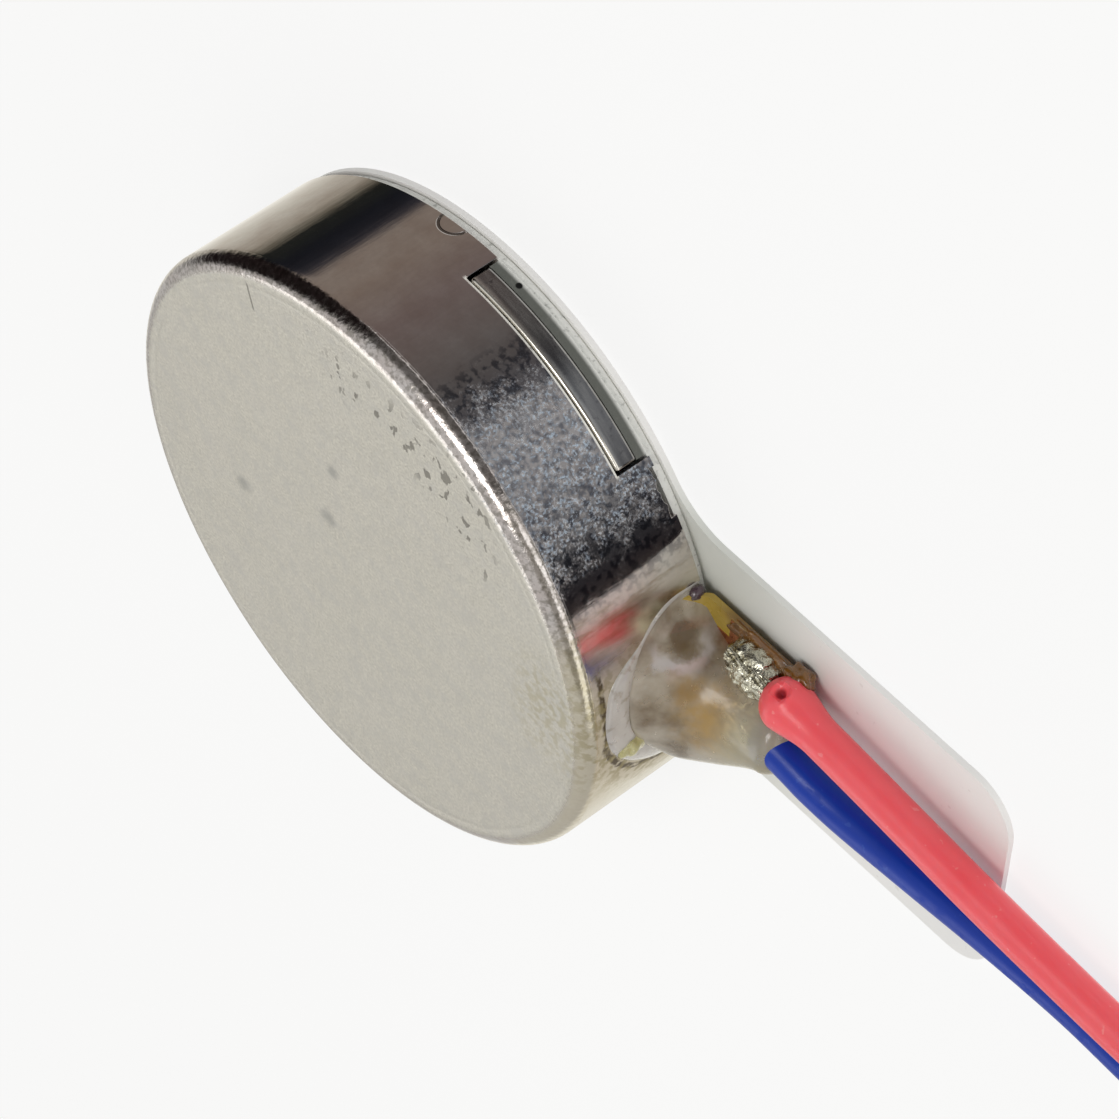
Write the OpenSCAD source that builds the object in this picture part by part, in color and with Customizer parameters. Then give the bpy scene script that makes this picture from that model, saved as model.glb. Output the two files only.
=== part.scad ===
// Vibration coin motor, 10 mm across: a drawn steel can over a bracket plate, a ring magnet and
// a brushed eccentric rotor inside, a flexible circuit tail with two leads, an adhesive pad and
// its release liner. Origin on the shaft axis at the liner's underside, +Z along the shaft
// towards the closed face, +X towards the leads.

/* [Case] */
// Outer diameter of the drawn can
can_d = 10; // [9.9:0.05:10.1]
// Height from the liner's underside to the closed face
total_h = 2.7; // [2.7:0.02:2.8]
// Wall thickness of the can
can_wall = 0.2; // [0.18:0.01:0.2]
// Outer rounding between the closed face and the side
rim_r = 0.3; // [0.24:0.02:0.34]
// Width of the round-topped arch that the circuit comes out of
arch_w = 2.66; // [2.6:0.02:2.7]
// Height of the arch above the can's edge
arch_h = 1.63; // [1.56:0.01:1.66]
// Sideways offset of the arch from the shaft axis
arch_y = 0.68; // [0.66:0.01:0.7]

/* [Bracket] */
// Thickness of the bracket plate
bracket_t = 0.36; // [0.3:0.02:0.36]
// How far the can's edge stands below the bracket's underside
rim_proud = 0.19; // [0.14:0.01:0.19]
// Angle that each locating ear covers
ear_span = 40; // [30:1:44]
// Angle from the lead side to the middle of the front and back ears
ear_angle = 67.8; // [60:0.1:75]
// Shaft diameter
shaft_d = 0.8; // [0.7:0.02:0.8]

/* [Circuit] */
// Thickness of the polyimide circuit
flex_t = 0.1; // [0.08:0.01:0.1]
// Width of the circuit's tail
tail_w = 2.4; // [2.2:0.1:2.4]
// Reach of the tail from the shaft axis
tail_reach = 6.9; // [6.8:0.05:7.2]
// Sideways offset of the tail and of the liner's tab from the shaft axis
tail_y = 0.75; // [0.7:0.01:0.76]

/* [Pad and liner] */
// Release liner thickness
liner_t = 0.1; // [0.06:0.01:0.1]
// Adhesive pad thickness under the can's edge
pad_t = 0.15; // [0.1:0.01:0.16]
// Adhesive pad diameter
pad_d = 9.7; // [9.2:0.05:9.7]
// Release liner disc diameter
liner_d = 9.8; // [9.6:0.05:9.9]
// Width of the liner's pull tab
tab_w = 4.06; // [3.6:0.02:4.2]
// Reach of the pull tab from the shaft axis
tab_reach = 10.6; // [9.5:0.1:11]

/* [Rotor] */
// Radius of the moulded half-disc rotor
rotor_r = 4.4; // [4.2:0.05:4.5]
// Thickness of the moulded rotor above its board
rotor_t = 0.72; // [0.66:0.01:0.72]
// Outer diameter of each winding
coil_d = 2.4; // [2.2:0.05:2.4]
// Angle that the tungsten counterweight covers
weight_span = 40; // [30:1:42]
// Commutator segments
segments = 6; // [6:2:8]

/* [Leads] */
// Outer diameter of the insulation
lead_d = 0.6; // [0.5:0.02:0.6]
// Diameter of the tinned conductor
wire_d = 0.24; // [0.16:0.02:0.26]
// Stripped length at each free end
tip_l = 2.4; // [1.5:0.1:3]

/* [Hidden] */
$fn = 96;
CUT = 1;                            // how far a cutting tool runs past the surface it cuts
GAP = 0.02;                         // assembly clearance between loose neighbours
can_r = can_d / 2;
can_in_r = can_r - can_wall;

// Heights, stacked from the liner up
z_pad = liner_t;
z_can = z_pad + pad_t;
z_bracket = z_can + rim_proud;
z_flex = z_bracket + bracket_t;
z_stack = z_flex + flex_t;          // top of the circuit, which the magnet and brushes sit on
z_ceiling = total_h - can_wall;     // underside of the closed face

// Bracket
shaft_r = shaft_d / 2;
collar_r = 0.75;
collar_h = 0.2;
ear_gap = 0.04;                     // slit left above an ear in the can's slot
ear_slack = 1;                      // how many degrees wider than its ear a slot is
ear_root = 1;                       // how far an ear's root reaches into the plate
arch_depth = 2;                     // how far in from the can's side the arch's cut reaches
nick_angle = 41;                    // small assembly nick in the can's edge beside the front ear
nick_span = 9;
nick_h = 0.1;
ear_mids = [ear_angle, 180, -ear_angle];
flat_x = 4.45;                      // the bracket and pad are cut back here to let the tail down

// Magnet
magnet_in_r = 2.2;
magnet_out_r = 4.3;
magnet_t = 0.45;

// Circuit and its tail: the tail runs out level, dips under the arch and runs on level
circuit_r = 4.4;
circuit_hole_r = 0.8;
copper_t = 0.03;
tail_top = 0.32;
tail_low = tail_top - flex_t;
tail_line = [[4, z_flex], [4.5, z_flex], [5.1, tail_low], [tail_reach, tail_low]];
track_w = 0.25;
pad_x0 = 5.3;
pad_x1 = 6.5;
pad_w = 0.8;
red_pad_y = 1.5;
blue_pad_y = 0.45;

// Brushes: a leaf rising from its solder land to the commutator
brush_t = 0.06;
brush_w = 0.4;
brush_y = 1.25;
finger_gap = 0.1;
brush_clear = 0.01;
// The leaf along X: its soldered foot from and to, its fingertip from and to
foot_x0 = -1.45;
foot_x1 = -0.75;
finger_x0 = 0.05;
finger_x1 = 0.35;
slit_x = -0.6;                      // where the slit between the two fingers starts
brush_joint_x = 1.25;
brush_joint_r = 0.15;
// Copper: the land under each brush, and where the tracks turn towards the tail
land_x0 = 0.7;
land_x1 = 1.5;
land_half = 0.25;
negative_y = 0.3;
negative_turn_x = 1.8;

// Rotor stack
z_commutator = 1.45;
commutator_t = 0.03;
board_t = 0.12;
z_board = z_commutator + commutator_t;
z_mould = z_board + board_t;
segment_in_r = 0.95;
segment_out_r = 1.65;
segment_gap = 8;
board_r = rotor_r - 0.05;
board_hub_r = 1.75;
half_x = 0.4;                       // the half disc runs this far past the axis
bearing_r = 0.8;
bearing_clear = 0.02;
washer_t = 0.08;
z_bearing = 1.1;
bearing_top = 2.4;
mould_hub_r = 1.2;
coil_hole_r = 0.5;
coil_t = 0.55;
coil_orbit = 2.85;
coil_angle = 50;
weight_in_r = 1.3;
joint_r = 0.2;
joint_orbit = 1.48;
joint_spread = 60;                  // the joints sit at these angles from +X, a pitch apart
joint_pitch = 40;

// Solder on the tail
solder_r = 0.36;
solder_z = 0.4;
solder_x0 = 5.65;
solder_x1 = 6.05;
wire_z = 0.62;
wire_x0 = 5.6;

// Resin mound stations: distance out, y from, y to, top
RESIN = [[4.7, -0.4, 1.7, 1.6], [5.3, -0.8, 1.6, 1.3], [5.8, -0.65, 1.35, 0.95], [6.5, -0.3, 1.15, 0.8]];
resin_slice = 0.02;

// Lead routes, each point on the centre line
lead_r = lead_d / 2;
lead_sides = 8;
RED_ROUTE = [
    [6.4, 1.7, 0.62], [6.9, 1.7, 0.62], [7.5, 1.67, 0.63], [8.5, 1.55, 0.62], [9.5, 1.42, 0.61],
    [10.5, 1.29, 0.6], [11.5, 1.17, 0.58], [12.5, 1.05, 0.55], [13.5, 0.95, 0.52], [15, 0.85, 0.46],
    [17, 0.85, 0.4], [19, 0.95, 0.35], [21, 1.1, 0.32], [24, 1.3, 0.3], [27, 1.4, 0.3],
    [30, 1.35, 0.3], [33, 1.25, 0.3], [36, 1.3, 0.3], [38.5, 1.45, 0.3], [40, 1.5, 0.3], [42, 1.5, 0.3]];
BLUE_ROUTE = [
    [6.3, 0.6, 0.62], [6.6, 0.6, 0.62], [7, 0.5, 0.59], [7.4, 0.37, 0.55], [8, 0.27, 0.5],
    [8.8, 0.26, 0.46], [9.7, 0.33, 0.45], [10.7, 0.4, 0.43], [11.6, 0.43, 0.41], [12.5, 0.4, 0.38],
    [13.5, 0.3, 0.36], [15, 0.15, 0.33], [17, 0, 0.31], [19, -0.15, 0.3], [22, -0.35, 0.3],
    [25, -0.55, 0.3], [28, -0.7, 0.3], [31, -0.75, 0.3], [34, -0.75, 0.3], [37, -0.85, 0.3],
    [39.5, -1, 0.3], [41, -1.05, 0.3], [42.5, -1.05, 0.3]];
red_start = RED_ROUTE[0];
blue_start = BLUE_ROUTE[0];
red_end = RED_ROUTE[len(RED_ROUTE) - 1];
blue_end = BLUE_ROUTE[len(BLUE_ROUTE) - 1];

// Liner outline
liner_r = liner_d / 2;
liner_y = 0.1;                      // the pad and liner are stuck on a little off centre
neck_r = 1.4;                       // fillet between the disc and the tab
tab_corner_r = 0.8;

// ---------- shared shapes ----------

// A round tube or washer from z0 to z1
module ring(r_in, r_out, z0, z1) {
    translate([0, 0, z0]) difference() {
        cylinder(r = r_out, h = z1 - z0);
        translate([0, 0, -CUT]) cylinder(r = r_in, h = z1 - z0 + 2 * CUT);
    }
}

// A stretch of ring centred on the angle mid
module ring_sector(r_in, r_out, z0, z1, mid, span) {
    rotate([0, 0, mid - span / 2]) rotate_extrude(angle = span)
        translate([r_in, z0]) square([r_out - r_in, z1 - z0]);
}

// Half section of a can: square below, rounded at its upper corner
module can_section(r, corner, z0, z1) {
    translate([0, z0]) square([r - corner, z1 - z0]);
    translate([0, z0]) square([r, z1 - z0 - corner]);
    translate([r - corner, z1 - corner]) circle(corner);
}

// The arched opening as a flat shape, x across and y up: straight sides under a half circle
module arch_shape() {
    r = arch_w / 2;
    translate([arch_y - r, z_can - CUT]) square([arch_w, arch_h - r + CUT]);
    translate([arch_y, z_can + arch_h - r]) circle(r);
}

// Stands a flat shape up facing +X and gives it depth from x0 to x1
module facing_x(x0, x1) {
    translate([x0, 0, 0]) rotate([90, 0, 90]) linear_extrude(x1 - x0) children();
}

// A strip whose side view follows a line of [x, z] points, between y0 and y1
module strip(line, t, y0, y1) {
    lower = line;
    upper = [for (i = [len(line) - 1 : -1 : 0]) line[i] + [0, t]];
    translate([0, y1, 0]) rotate([90, 0, 0]) linear_extrude(y1 - y0)
        polygon(concat(lower, upper));
}

// Points along an arc
function arc(cx, cy, r, a0, a1, steps) =
    [for (i = [0 : steps]) let (a = a0 + (a1 - a0) * i / steps) [cx + r * cos(a), cy + r * sin(a)]];

// ---------- swept lead ----------

function unit(v) = v / norm(v);
function heading(route, i) =
    unit(route[min(i + 1, len(route) - 1)] - route[max(i - 1, 0)]);
function side_of(t) = unit(cross([0, 0, 1], t));
function ring_points(c, t, r) =
    let (s = side_of(t), u = cross(t, s))
    [for (k = [0 : lead_sides - 1]) let (a = 360 * k / lead_sides) c + r * (cos(a) * s + sin(a) * u)];

// A round lead swept along its route, one ring at each route point
module lead(route) {
    n = lead_sides;
    last = len(route) - 1;
    points = [for (i = [0 : last]) each ring_points(route[i], heading(route, i), lead_r)];
    walls = [for (i = [0 : last - 1], k = [0 : n - 1])
        [i * n + k, (i + 1) * n + k, (i + 1) * n + (k + 1) % n, i * n + (k + 1) % n]];
    start_cap = [[for (k = [0 : n - 1]) k]];
    end_cap = [[for (k = [n - 1 : -1 : 0]) last * n + k]];
    polyhedron(points = points, faces = concat(walls, start_cap, end_cap));
}

// A bare conductor along +X from point p
module wire(p, length) {
    translate(p) rotate([0, 90, 0]) cylinder(d = wire_d, h = length);
}

// ---------- case and bracket ----------

// Deep-drawn can, closed at the top, with the arch, a slot for each bracket ear and one nick
module case() {
    color([0.76, 0.74, 0.71]) difference() {
        rotate_extrude() difference() {
            can_section(can_r, rim_r, z_can, total_h);
            can_section(can_in_r, rim_r - can_wall / 2, z_can - CUT, z_ceiling);
        }
        facing_x(can_r - arch_depth, can_r + CUT) arch_shape();
        for (m = ear_mids)
            ring_sector(can_in_r - can_wall, can_r + CUT, z_can - CUT, z_flex + ear_gap, m,
                ear_span + ear_slack);
        ring_sector(can_in_r - can_wall, can_r + CUT, z_can - CUT, z_can + nick_h, nick_angle, nick_span);
    }
}

// Flat steel plate with three ears that key into the can and a collar round the shaft
module bracket_plate() {
    color([0.62, 0.61, 0.6]) difference() {
        union() {
            translate([0, 0, z_bracket]) cylinder(r = can_in_r - GAP, h = bracket_t);
            for (m = ear_mids) ring_sector(can_in_r - ear_root, can_r, z_bracket, z_flex, m, ear_span);
            translate([0, 0, z_flex]) cylinder(r = collar_r, h = collar_h);
        }
        translate([0, 0, z_bracket - CUT]) cylinder(r = shaft_r, h = bracket_t + collar_h + 2 * CUT);
        translate([flat_x, -can_r, z_bracket - CUT]) cube([can_r, can_d, bracket_t + 2 * CUT]);
    }
}

module shaft() {
    color([0.8, 0.8, 0.82])
        translate([0, 0, z_bracket]) cylinder(r = shaft_r, h = z_ceiling - z_bracket);
}

module ring_magnet() {
    color([0.45, 0.45, 0.47]) ring(magnet_in_r, magnet_out_r, z_stack, z_stack + magnet_t);
}

// ---------- flexible circuit ----------

// Copper let into the tail's upper side between y0 and y1
module tail_copper(y0, y1) {
    lift = [0, flex_t - copper_t];
    strip([for (p = [tail_line[0], tail_line[1], tail_line[2], [pad_x0, tail_low]]) p + lift],
        copper_t, y0, y1);
}

// Copper let into a level stretch whose upper face is at top
module flat_copper(x0, x1, y0, y1, top) {
    translate([x0, y0, top - copper_t]) cube([x1 - x0, y1 - y0, copper_t]);
}

module copper_track_positive() {
    color([0.8, 0.5, 0.3]) {
        flat_copper(-land_x1, -land_x0, brush_y - land_half, brush_y + land_half, z_stack);
        flat_copper(-land_x0, tail_line[0][0], brush_y, brush_y + track_w, z_stack);
        tail_copper(brush_y, brush_y + track_w);
        flat_copper(pad_x0, pad_x1, red_pad_y - pad_w / 2, red_pad_y + pad_w / 2, tail_top);
    }
}

module copper_track_negative() {
    turn_y = negative_y + track_w;
    color([0.8, 0.5, 0.3]) {
        flat_copper(land_x0, land_x1, -brush_y - land_half, -brush_y + land_half, z_stack);
        flat_copper(land_x1, negative_turn_x, -brush_y - land_half, turn_y, z_stack);
        flat_copper(negative_turn_x, tail_line[0][0], negative_y, turn_y, z_stack);
        tail_copper(negative_y, turn_y);
        flat_copper(pad_x0, pad_x1, blue_pad_y - pad_w / 2, blue_pad_y + pad_w / 2, tail_top);
    }
}

// Polyimide film: a disc under the magnet and a tail through the arch
module flex_circuit() {
    color([0.78, 0.55, 0.12]) difference() {
        union() {
            translate([0, 0, z_flex]) cylinder(r = circuit_r, h = flex_t);
            strip(tail_line, flex_t, tail_y - tail_w / 2, tail_y + tail_w / 2);
        }
        translate([0, 0, z_flex - CUT]) cylinder(r = circuit_hole_r, h = flex_t + 2 * CUT);
        copper_track_positive();
        copper_track_negative();
    }
}

// ---------- brushes ----------

// Leaf brush with a two-fingered spring arm, on the +Y side
module brush_leaf() {
    tip_z = z_commutator - brush_clear - brush_t;
    arm = [[foot_x0, z_stack], [foot_x1, z_stack], [finger_x0, tip_z], [finger_x1, tip_z]];
    color([0.85, 0.7, 0.35]) difference() {
        strip(arm, brush_t, brush_y - brush_w / 2, brush_y + brush_w / 2);
        translate([slit_x, brush_y - finger_gap / 2, z_stack]) cube([CUT, finger_gap, CUT]);
    }
}

module brush_positive() { brush_leaf(); }
module brush_negative() { rotate([0, 0, 180]) brush_leaf(); }

// Part of a ball standing on the level z
module solder_dome(p, r, z) {
    intersection() {
        translate(p) sphere(r = r, $fn = 32);
        translate([p[0] - CUT, p[1] - CUT, z]) cube(2 * CUT);
    }
}

module brush_solder_joints() {
    z = z_stack + brush_t;
    color([0.75, 0.75, 0.76])
        for (s = [-1, 1]) solder_dome([s * brush_joint_x, -s * brush_y, z], brush_joint_r, z);
}

module lower_washer() {
    color([0.9, 0.88, 0.8]) ring(shaft_r, bearing_r, z_flex + collar_h, z_flex + collar_h + washer_t);
}

module upper_washer() {
    color([0.9, 0.88, 0.8]) ring(shaft_r, bearing_r, z_ceiling - washer_t, z_ceiling);
}

// ---------- rotor ----------

module bearing() {
    color([0.72, 0.53, 0.3]) ring(shaft_r + bearing_clear, bearing_r, z_bearing, bearing_top);
}

// Half disc with a round hub, as a flat shape
module half_disc(r, hub_r) {
    intersection() {
        circle(r);
        translate([-2 * r, -r]) square([2 * r + half_x, 2 * r]);
    }
    circle(hub_r);
}

module rotor_board() {
    color([0.2, 0.42, 0.25]) difference() {
        translate([0, 0, z_board]) linear_extrude(board_t) half_disc(board_r, board_hub_r);
        translate([0, 0, z_board - CUT]) cylinder(r = bearing_r, h = board_t + 2 * CUT);
    }
}

module commutator_segments() {
    pitch = 360 / segments;
    color([0.9, 0.7, 0.35]) for (i = [0 : segments - 1])
        ring_sector(segment_in_r, segment_out_r, z_commutator, z_board, i * pitch, pitch - segment_gap);
}

// One air-cored winding at the angle a on the rotor
module winding(a) {
    color([0.75, 0.38, 0.18]) rotate([0, 0, a]) translate([coil_orbit, 0, 0])
        ring(coil_hole_r, coil_d / 2, z_mould, z_mould + coil_t);
}

module coil_a() { winding(180 - coil_angle); }
module coil_b() { winding(180 + coil_angle); }

module counterweight() {
    color([0.5, 0.5, 0.52])
        ring_sector(weight_in_r, board_r, z_mould, z_mould + rotor_t, 180, weight_span);
}

// Moulding that holds the bearing, windings and counterweight on the board
module rotor_moulding() {
    color([0.12, 0.12, 0.13]) difference() {
        translate([0, 0, z_mould]) linear_extrude(rotor_t) half_disc(rotor_r, mould_hub_r);
        translate([0, 0, z_mould - CUT]) cylinder(r = bearing_r, h = rotor_t + 2 * CUT);
        coil_a();
        coil_b();
        counterweight();
    }
}

module coil_solder_joints() {
    color([0.75, 0.75, 0.76]) for (a = [-joint_spread : joint_pitch : joint_spread])
        solder_dome([joint_orbit * cos(a), joint_orbit * sin(a), z_mould], joint_r, z_mould);
}

// ---------- leads, solder and resin ----------

// Oblong bead of solder on a tail pad: three balls in a row, flat where they wet the pad
module solder_bead(y) {
    for (x = [solder_x0, (solder_x0 + solder_x1) / 2, solder_x1])
        solder_dome([x, y, solder_z], solder_r, tail_top);
}

module solder_red() {
    color([0.8, 0.8, 0.8]) difference() { solder_bead(red_pad_y); conductor_end_red(); }
}

module solder_blue() {
    color([0.8, 0.8, 0.8]) difference() { solder_bead(blue_pad_y); conductor_end_blue(); }
}

module conductor_end_red() {
    color([0.85, 0.8, 0.75]) wire([wire_x0, red_start[1], wire_z], red_start[0] - wire_x0);
}

module conductor_end_blue() {
    color([0.85, 0.8, 0.75]) wire([wire_x0, blue_start[1], wire_z], blue_start[0] - wire_x0);
}

module lead_red() { color([0.93, 0.3, 0.35]) lead(RED_ROUTE); }
module lead_blue() { color([0.05, 0.2, 0.6]) lead(BLUE_ROUTE); }
module lead_tip_red() { color([0.85, 0.85, 0.83]) wire(red_end, tip_l); }
module lead_tip_blue() { color([0.85, 0.85, 0.83]) wire(blue_end, tip_l); }

// One thin upright slice of the resin mound
module resin_station(s) {
    translate([s[0], s[1], tail_top]) cube([resin_slice, s[2] - s[1], s[3] - tail_top]);
}

// Everything below the tail's upper side, from the cut-back front of the bracket outwards
module below_tail() {
    line = concat([[flat_x - CUT, z_stack]],
        [for (i = [1 : len(tail_line) - 1]) tail_line[i] + [0, flex_t]]);
    end_x = tail_reach + CUT;
    translate([0, can_r, 0]) rotate([90, 0, 0]) linear_extrude(can_d)
        polygon(concat(line, [[end_x, tail_top], [end_x, 0], [flat_x - CUT, 0]]));
}

// Clear resin that fills the arch above the tail and runs down over the joints
module seal_resin() {
    color([0.75, 0.72, 0.65]) difference() {
        union() {
            difference() {
                union() {
                    for (i = [0 : len(RESIN) - 2])
                        hull() { resin_station(RESIN[i]); resin_station(RESIN[i + 1]); }
                }
                cylinder(r = can_r, h = total_h);
            }
            intersection() {
                facing_x(flat_x, can_r) arch_shape();
                cylinder(r = can_r, h = total_h);
            }
        }
        below_tail();
        solder_bead(red_pad_y);
        solder_bead(blue_pad_y);
        conductor_end_red();
        conductor_end_blue();
        lead_red();
        lead_blue();
    }
}

// ---------- pad and liner ----------

// White foam pad: pressed up inside the can's edge and out under each ear
module adhesive_pad() {
    color([0.88, 0.88, 0.86]) difference() {
        union() {
            translate([0, liner_y, z_pad]) cylinder(d = pad_d, h = pad_t);
            translate([0, 0, z_can]) cylinder(r = can_in_r - 2 * GAP, h = rim_proud);
            for (m = ear_mids)
                ring_sector(can_in_r - ear_root, can_r - GAP, z_can, z_bracket, m, ear_span);
        }
        translate([flat_x, -can_r, z_can]) cube([can_r, can_d, CUT]);
    }
}

// Silicone paper with a pull tab, its neck filleted into the disc
module release_liner() {
    y_hi = tail_y + tab_w / 2;
    y_lo = tail_y - tab_w / 2;
    reach = liner_r + neck_r;
    hi_x = sqrt(reach * reach - pow(y_hi + neck_r - liner_y, 2));
    lo_x = sqrt(reach * reach - pow(liner_y - y_lo + neck_r, 2));
    hi_a = atan2(y_hi + neck_r - liner_y, hi_x);
    lo_a = atan2(liner_y - y_lo + neck_r, lo_x);
    end_x = tab_reach - tab_corner_r;
    color([0.95, 0.95, 0.93]) linear_extrude(liner_t) polygon(concat(
        arc(0, liner_y, liner_r, hi_a, 360 - lo_a, 96),
        arc(lo_x, y_lo - neck_r, neck_r, 180 - lo_a, 90, 12),
        arc(end_x, y_lo + tab_corner_r, tab_corner_r, -90, 0, 10),
        arc(end_x, y_hi - tab_corner_r, tab_corner_r, 0, 90, 10),
        arc(hi_x, y_hi + neck_r, neck_r, -90, hi_a - 180, 12)));
}

case();
bracket_plate();
shaft();
ring_magnet();
flex_circuit();
copper_track_positive();
copper_track_negative();
brush_positive();
brush_negative();
brush_solder_joints();
lower_washer();
upper_washer();
bearing();
rotor_board();
commutator_segments();
coil_a();
coil_b();
counterweight();
rotor_moulding();
coil_solder_joints();
solder_red();
solder_blue();
conductor_end_red();
conductor_end_blue();
seal_resin();
lead_red();
lead_blue();
lead_tip_red();
lead_tip_blue();
adhesive_pad();
release_liner();
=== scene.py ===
# %% [markdown]
# # A vibration coin motor, piece by piece
# The motor is a polished nickel can, 10 mm across, over a steel bracket. A foam pad and a paper
# liner are stuck to its underside, and two leads leave it through an arched opening that is
# sealed with clear resin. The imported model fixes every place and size. This script only gives
# the pieces their smooth shapes and their finishes, so it starts by loading that model.

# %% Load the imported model
import math
import bmesh
import bpy
import numpy as np
from mathutils import Matrix, Vector


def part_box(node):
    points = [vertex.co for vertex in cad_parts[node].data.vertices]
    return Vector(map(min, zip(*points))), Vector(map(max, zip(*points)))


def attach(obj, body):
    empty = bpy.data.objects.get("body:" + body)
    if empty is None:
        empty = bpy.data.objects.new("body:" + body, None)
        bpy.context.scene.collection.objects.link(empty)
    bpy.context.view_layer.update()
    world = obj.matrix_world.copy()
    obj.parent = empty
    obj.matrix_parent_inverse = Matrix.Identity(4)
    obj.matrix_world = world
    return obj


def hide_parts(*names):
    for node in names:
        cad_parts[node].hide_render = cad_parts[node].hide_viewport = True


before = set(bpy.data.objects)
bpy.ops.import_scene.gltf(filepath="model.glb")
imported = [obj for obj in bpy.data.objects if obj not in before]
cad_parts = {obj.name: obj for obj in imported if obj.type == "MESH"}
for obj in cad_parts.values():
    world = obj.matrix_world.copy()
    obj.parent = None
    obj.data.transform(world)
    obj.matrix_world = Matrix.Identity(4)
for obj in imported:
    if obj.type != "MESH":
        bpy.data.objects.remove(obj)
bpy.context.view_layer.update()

MM = 0.001

# %% [markdown]
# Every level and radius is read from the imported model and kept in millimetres, because the
# motor is small. Rounding to a hundredth removes the tiny error that the model's facets bring.


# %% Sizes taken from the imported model
def corners(node):
    """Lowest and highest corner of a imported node, in millimetres."""
    low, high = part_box(node)
    return np.round(np.array(low) / MM, 2), np.round(np.array(high) / MM, 2)


case_low, case_high = corners("case")
film_low, film_high = corners("flex_circuit")
bracket_low, bracket_high = corners("bracket_plate")
pad_low, pad_high = corners("adhesive_pad")
liner_low, liner_high = corners("release_liner")
magnet_low, _ = corners("ring_magnet")
can_r = case_high[1]
can_wall = 0.2
can_foot = case_low[2]
can_top = case_high[2]
bracket_foot = bracket_low[2]
film_top = magnet_low[2]
film_thick = 0.1
tail_top = film_low[2] + film_thick
print("can radius", can_r, "top", can_top, "film from", film_low[2], "to", film_top)

# %% [markdown]
# ## Camera
# The motor is seen from beside its leads, 25 degrees above the table, through a long lens, and
# the camera is rolled so far that the closed face turns down to the left and the leads run down
# to the right. A direction round the motor, a height above the horizon and a roll describe that
# better than the nine numbers of a matrix.


# %% Place the camera
def direction(azimuth, elevation):
    """Unit vector from the motor: azimuth 0 is -Y, 90 is +X, and elevation is above the horizon."""
    a, e = math.radians(azimuth), math.radians(elevation)
    return Vector((math.sin(a) * math.cos(e), -math.cos(a) * math.cos(e), math.sin(e)))


VIEW_AZIMUTH, VIEW_ELEVATION, VIEW_ROLL = 150.776, 25.242, -124.17
VIEW_DISTANCE = 78.5 * MM
VIEW_AIM = Vector((2.313, 0.736, 0.825)) * MM
camera_data = bpy.data.cameras.new("camera")
camera_data.lens = 176.26
camera_data.clip_start, camera_data.clip_end = 1 * MM, 10
camera = bpy.data.objects.new("camera", camera_data)
bpy.context.scene.collection.objects.link(camera)
bpy.context.scene.camera = camera
back = direction(VIEW_AZIMUTH, VIEW_ELEVATION)
level = Matrix.Rotation(math.radians(VIEW_AZIMUTH), 4, "Z")
tilt = Matrix.Rotation(math.radians(90 - VIEW_ELEVATION), 4, "X")
roll = Matrix.Rotation(math.radians(VIEW_ROLL), 4, "Z")
camera.matrix_world = Matrix.Translation(VIEW_AIM + back * VIEW_DISTANCE) @ level @ tilt @ roll
print("camera at", [round(c / MM, 2) for c in camera.matrix_world.translation], "mm")

# %% [markdown]
# ## Meshes from grids
# Every new piece is a sheet of points worked out with numpy: one parameter runs along the rows
# and the other along the columns. Three helpers turn such sheets into solids. One joins
# neighbouring points into quads, one gives a sheet its thickness by walling up every open edge,
# and one puts points and faces into a mesh, closes its seams and turns its faces outwards.


# %% Grid, wall and mesh helpers
def grid_quads(rows, columns, loop=False):
    """Quads between neighbouring points of a rows x columns grid; loop joins the last column to the first."""
    i, j = np.meshgrid(np.arange(rows - 1), np.arange(columns if loop else columns - 1), indexing="ij")
    k = (j + 1) % columns
    quads = [i * columns + j, (i + 1) * columns + j, (i + 1) * columns + k, i * columns + k]
    return np.stack(quads, -1).reshape(-1, 4)


def walled(outer, inner, quads):
    """Two sheets of points as one closed solid: the quads on the outer sheet, the same quads
    reversed on the inner one, and a wall along each edge that only one quad has."""
    n = len(outer)
    a, b = quads.ravel(), np.roll(quads, -1, axis=1).ravel()
    open_edge = ~np.isin(a * n + b, b * n + a)
    open_edge &= np.linalg.norm(outer[a] - outer[b], axis=1) > 1e-6
    a, b = a[open_edge], b[open_edge]
    walls = np.stack([b, a, a + n, b + n], -1)
    return np.concatenate([outer, inner]), np.concatenate([quads, quads[:, ::-1] + n, walls])


def add_mesh(name, points, faces, smooth=35):
    """A mesh object from points in millimetres: doubles merged, loose points dropped, normals
    turned outwards, and edges sharper than the smooth angle kept sharp."""
    mesh = bpy.data.meshes.new(name)
    mesh.from_pydata((points * MM).tolist(), [], faces.tolist())
    build = bmesh.new()
    build.from_mesh(mesh)
    bmesh.ops.remove_doubles(build, verts=build.verts, dist=1e-8)
    bmesh.ops.delete(build, geom=[v for v in build.verts if not v.link_faces], context="VERTS")
    bmesh.ops.recalc_face_normals(build, faces=build.faces)
    build.to_mesh(mesh)
    build.free()
    mesh.shade_smooth()
    mesh.set_sharp_from_angle(angle=math.radians(smooth))
    piece = bpy.data.objects.new(name, mesh)
    bpy.context.scene.collection.objects.link(piece)
    print(name, "has", len(mesh.vertices), "points and", len(mesh.polygons), "faces")
    return piece


def join_solids(*solids):
    """Several (points, faces) solids as one (points, faces) pair."""
    starts = np.cumsum([0] + [len(points) for points, _ in solids[:-1]])
    faces = [f + s for (_, f), s in zip(solids, starts)]
    return np.concatenate([points for points, _ in solids]), np.concatenate(faces)


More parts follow.
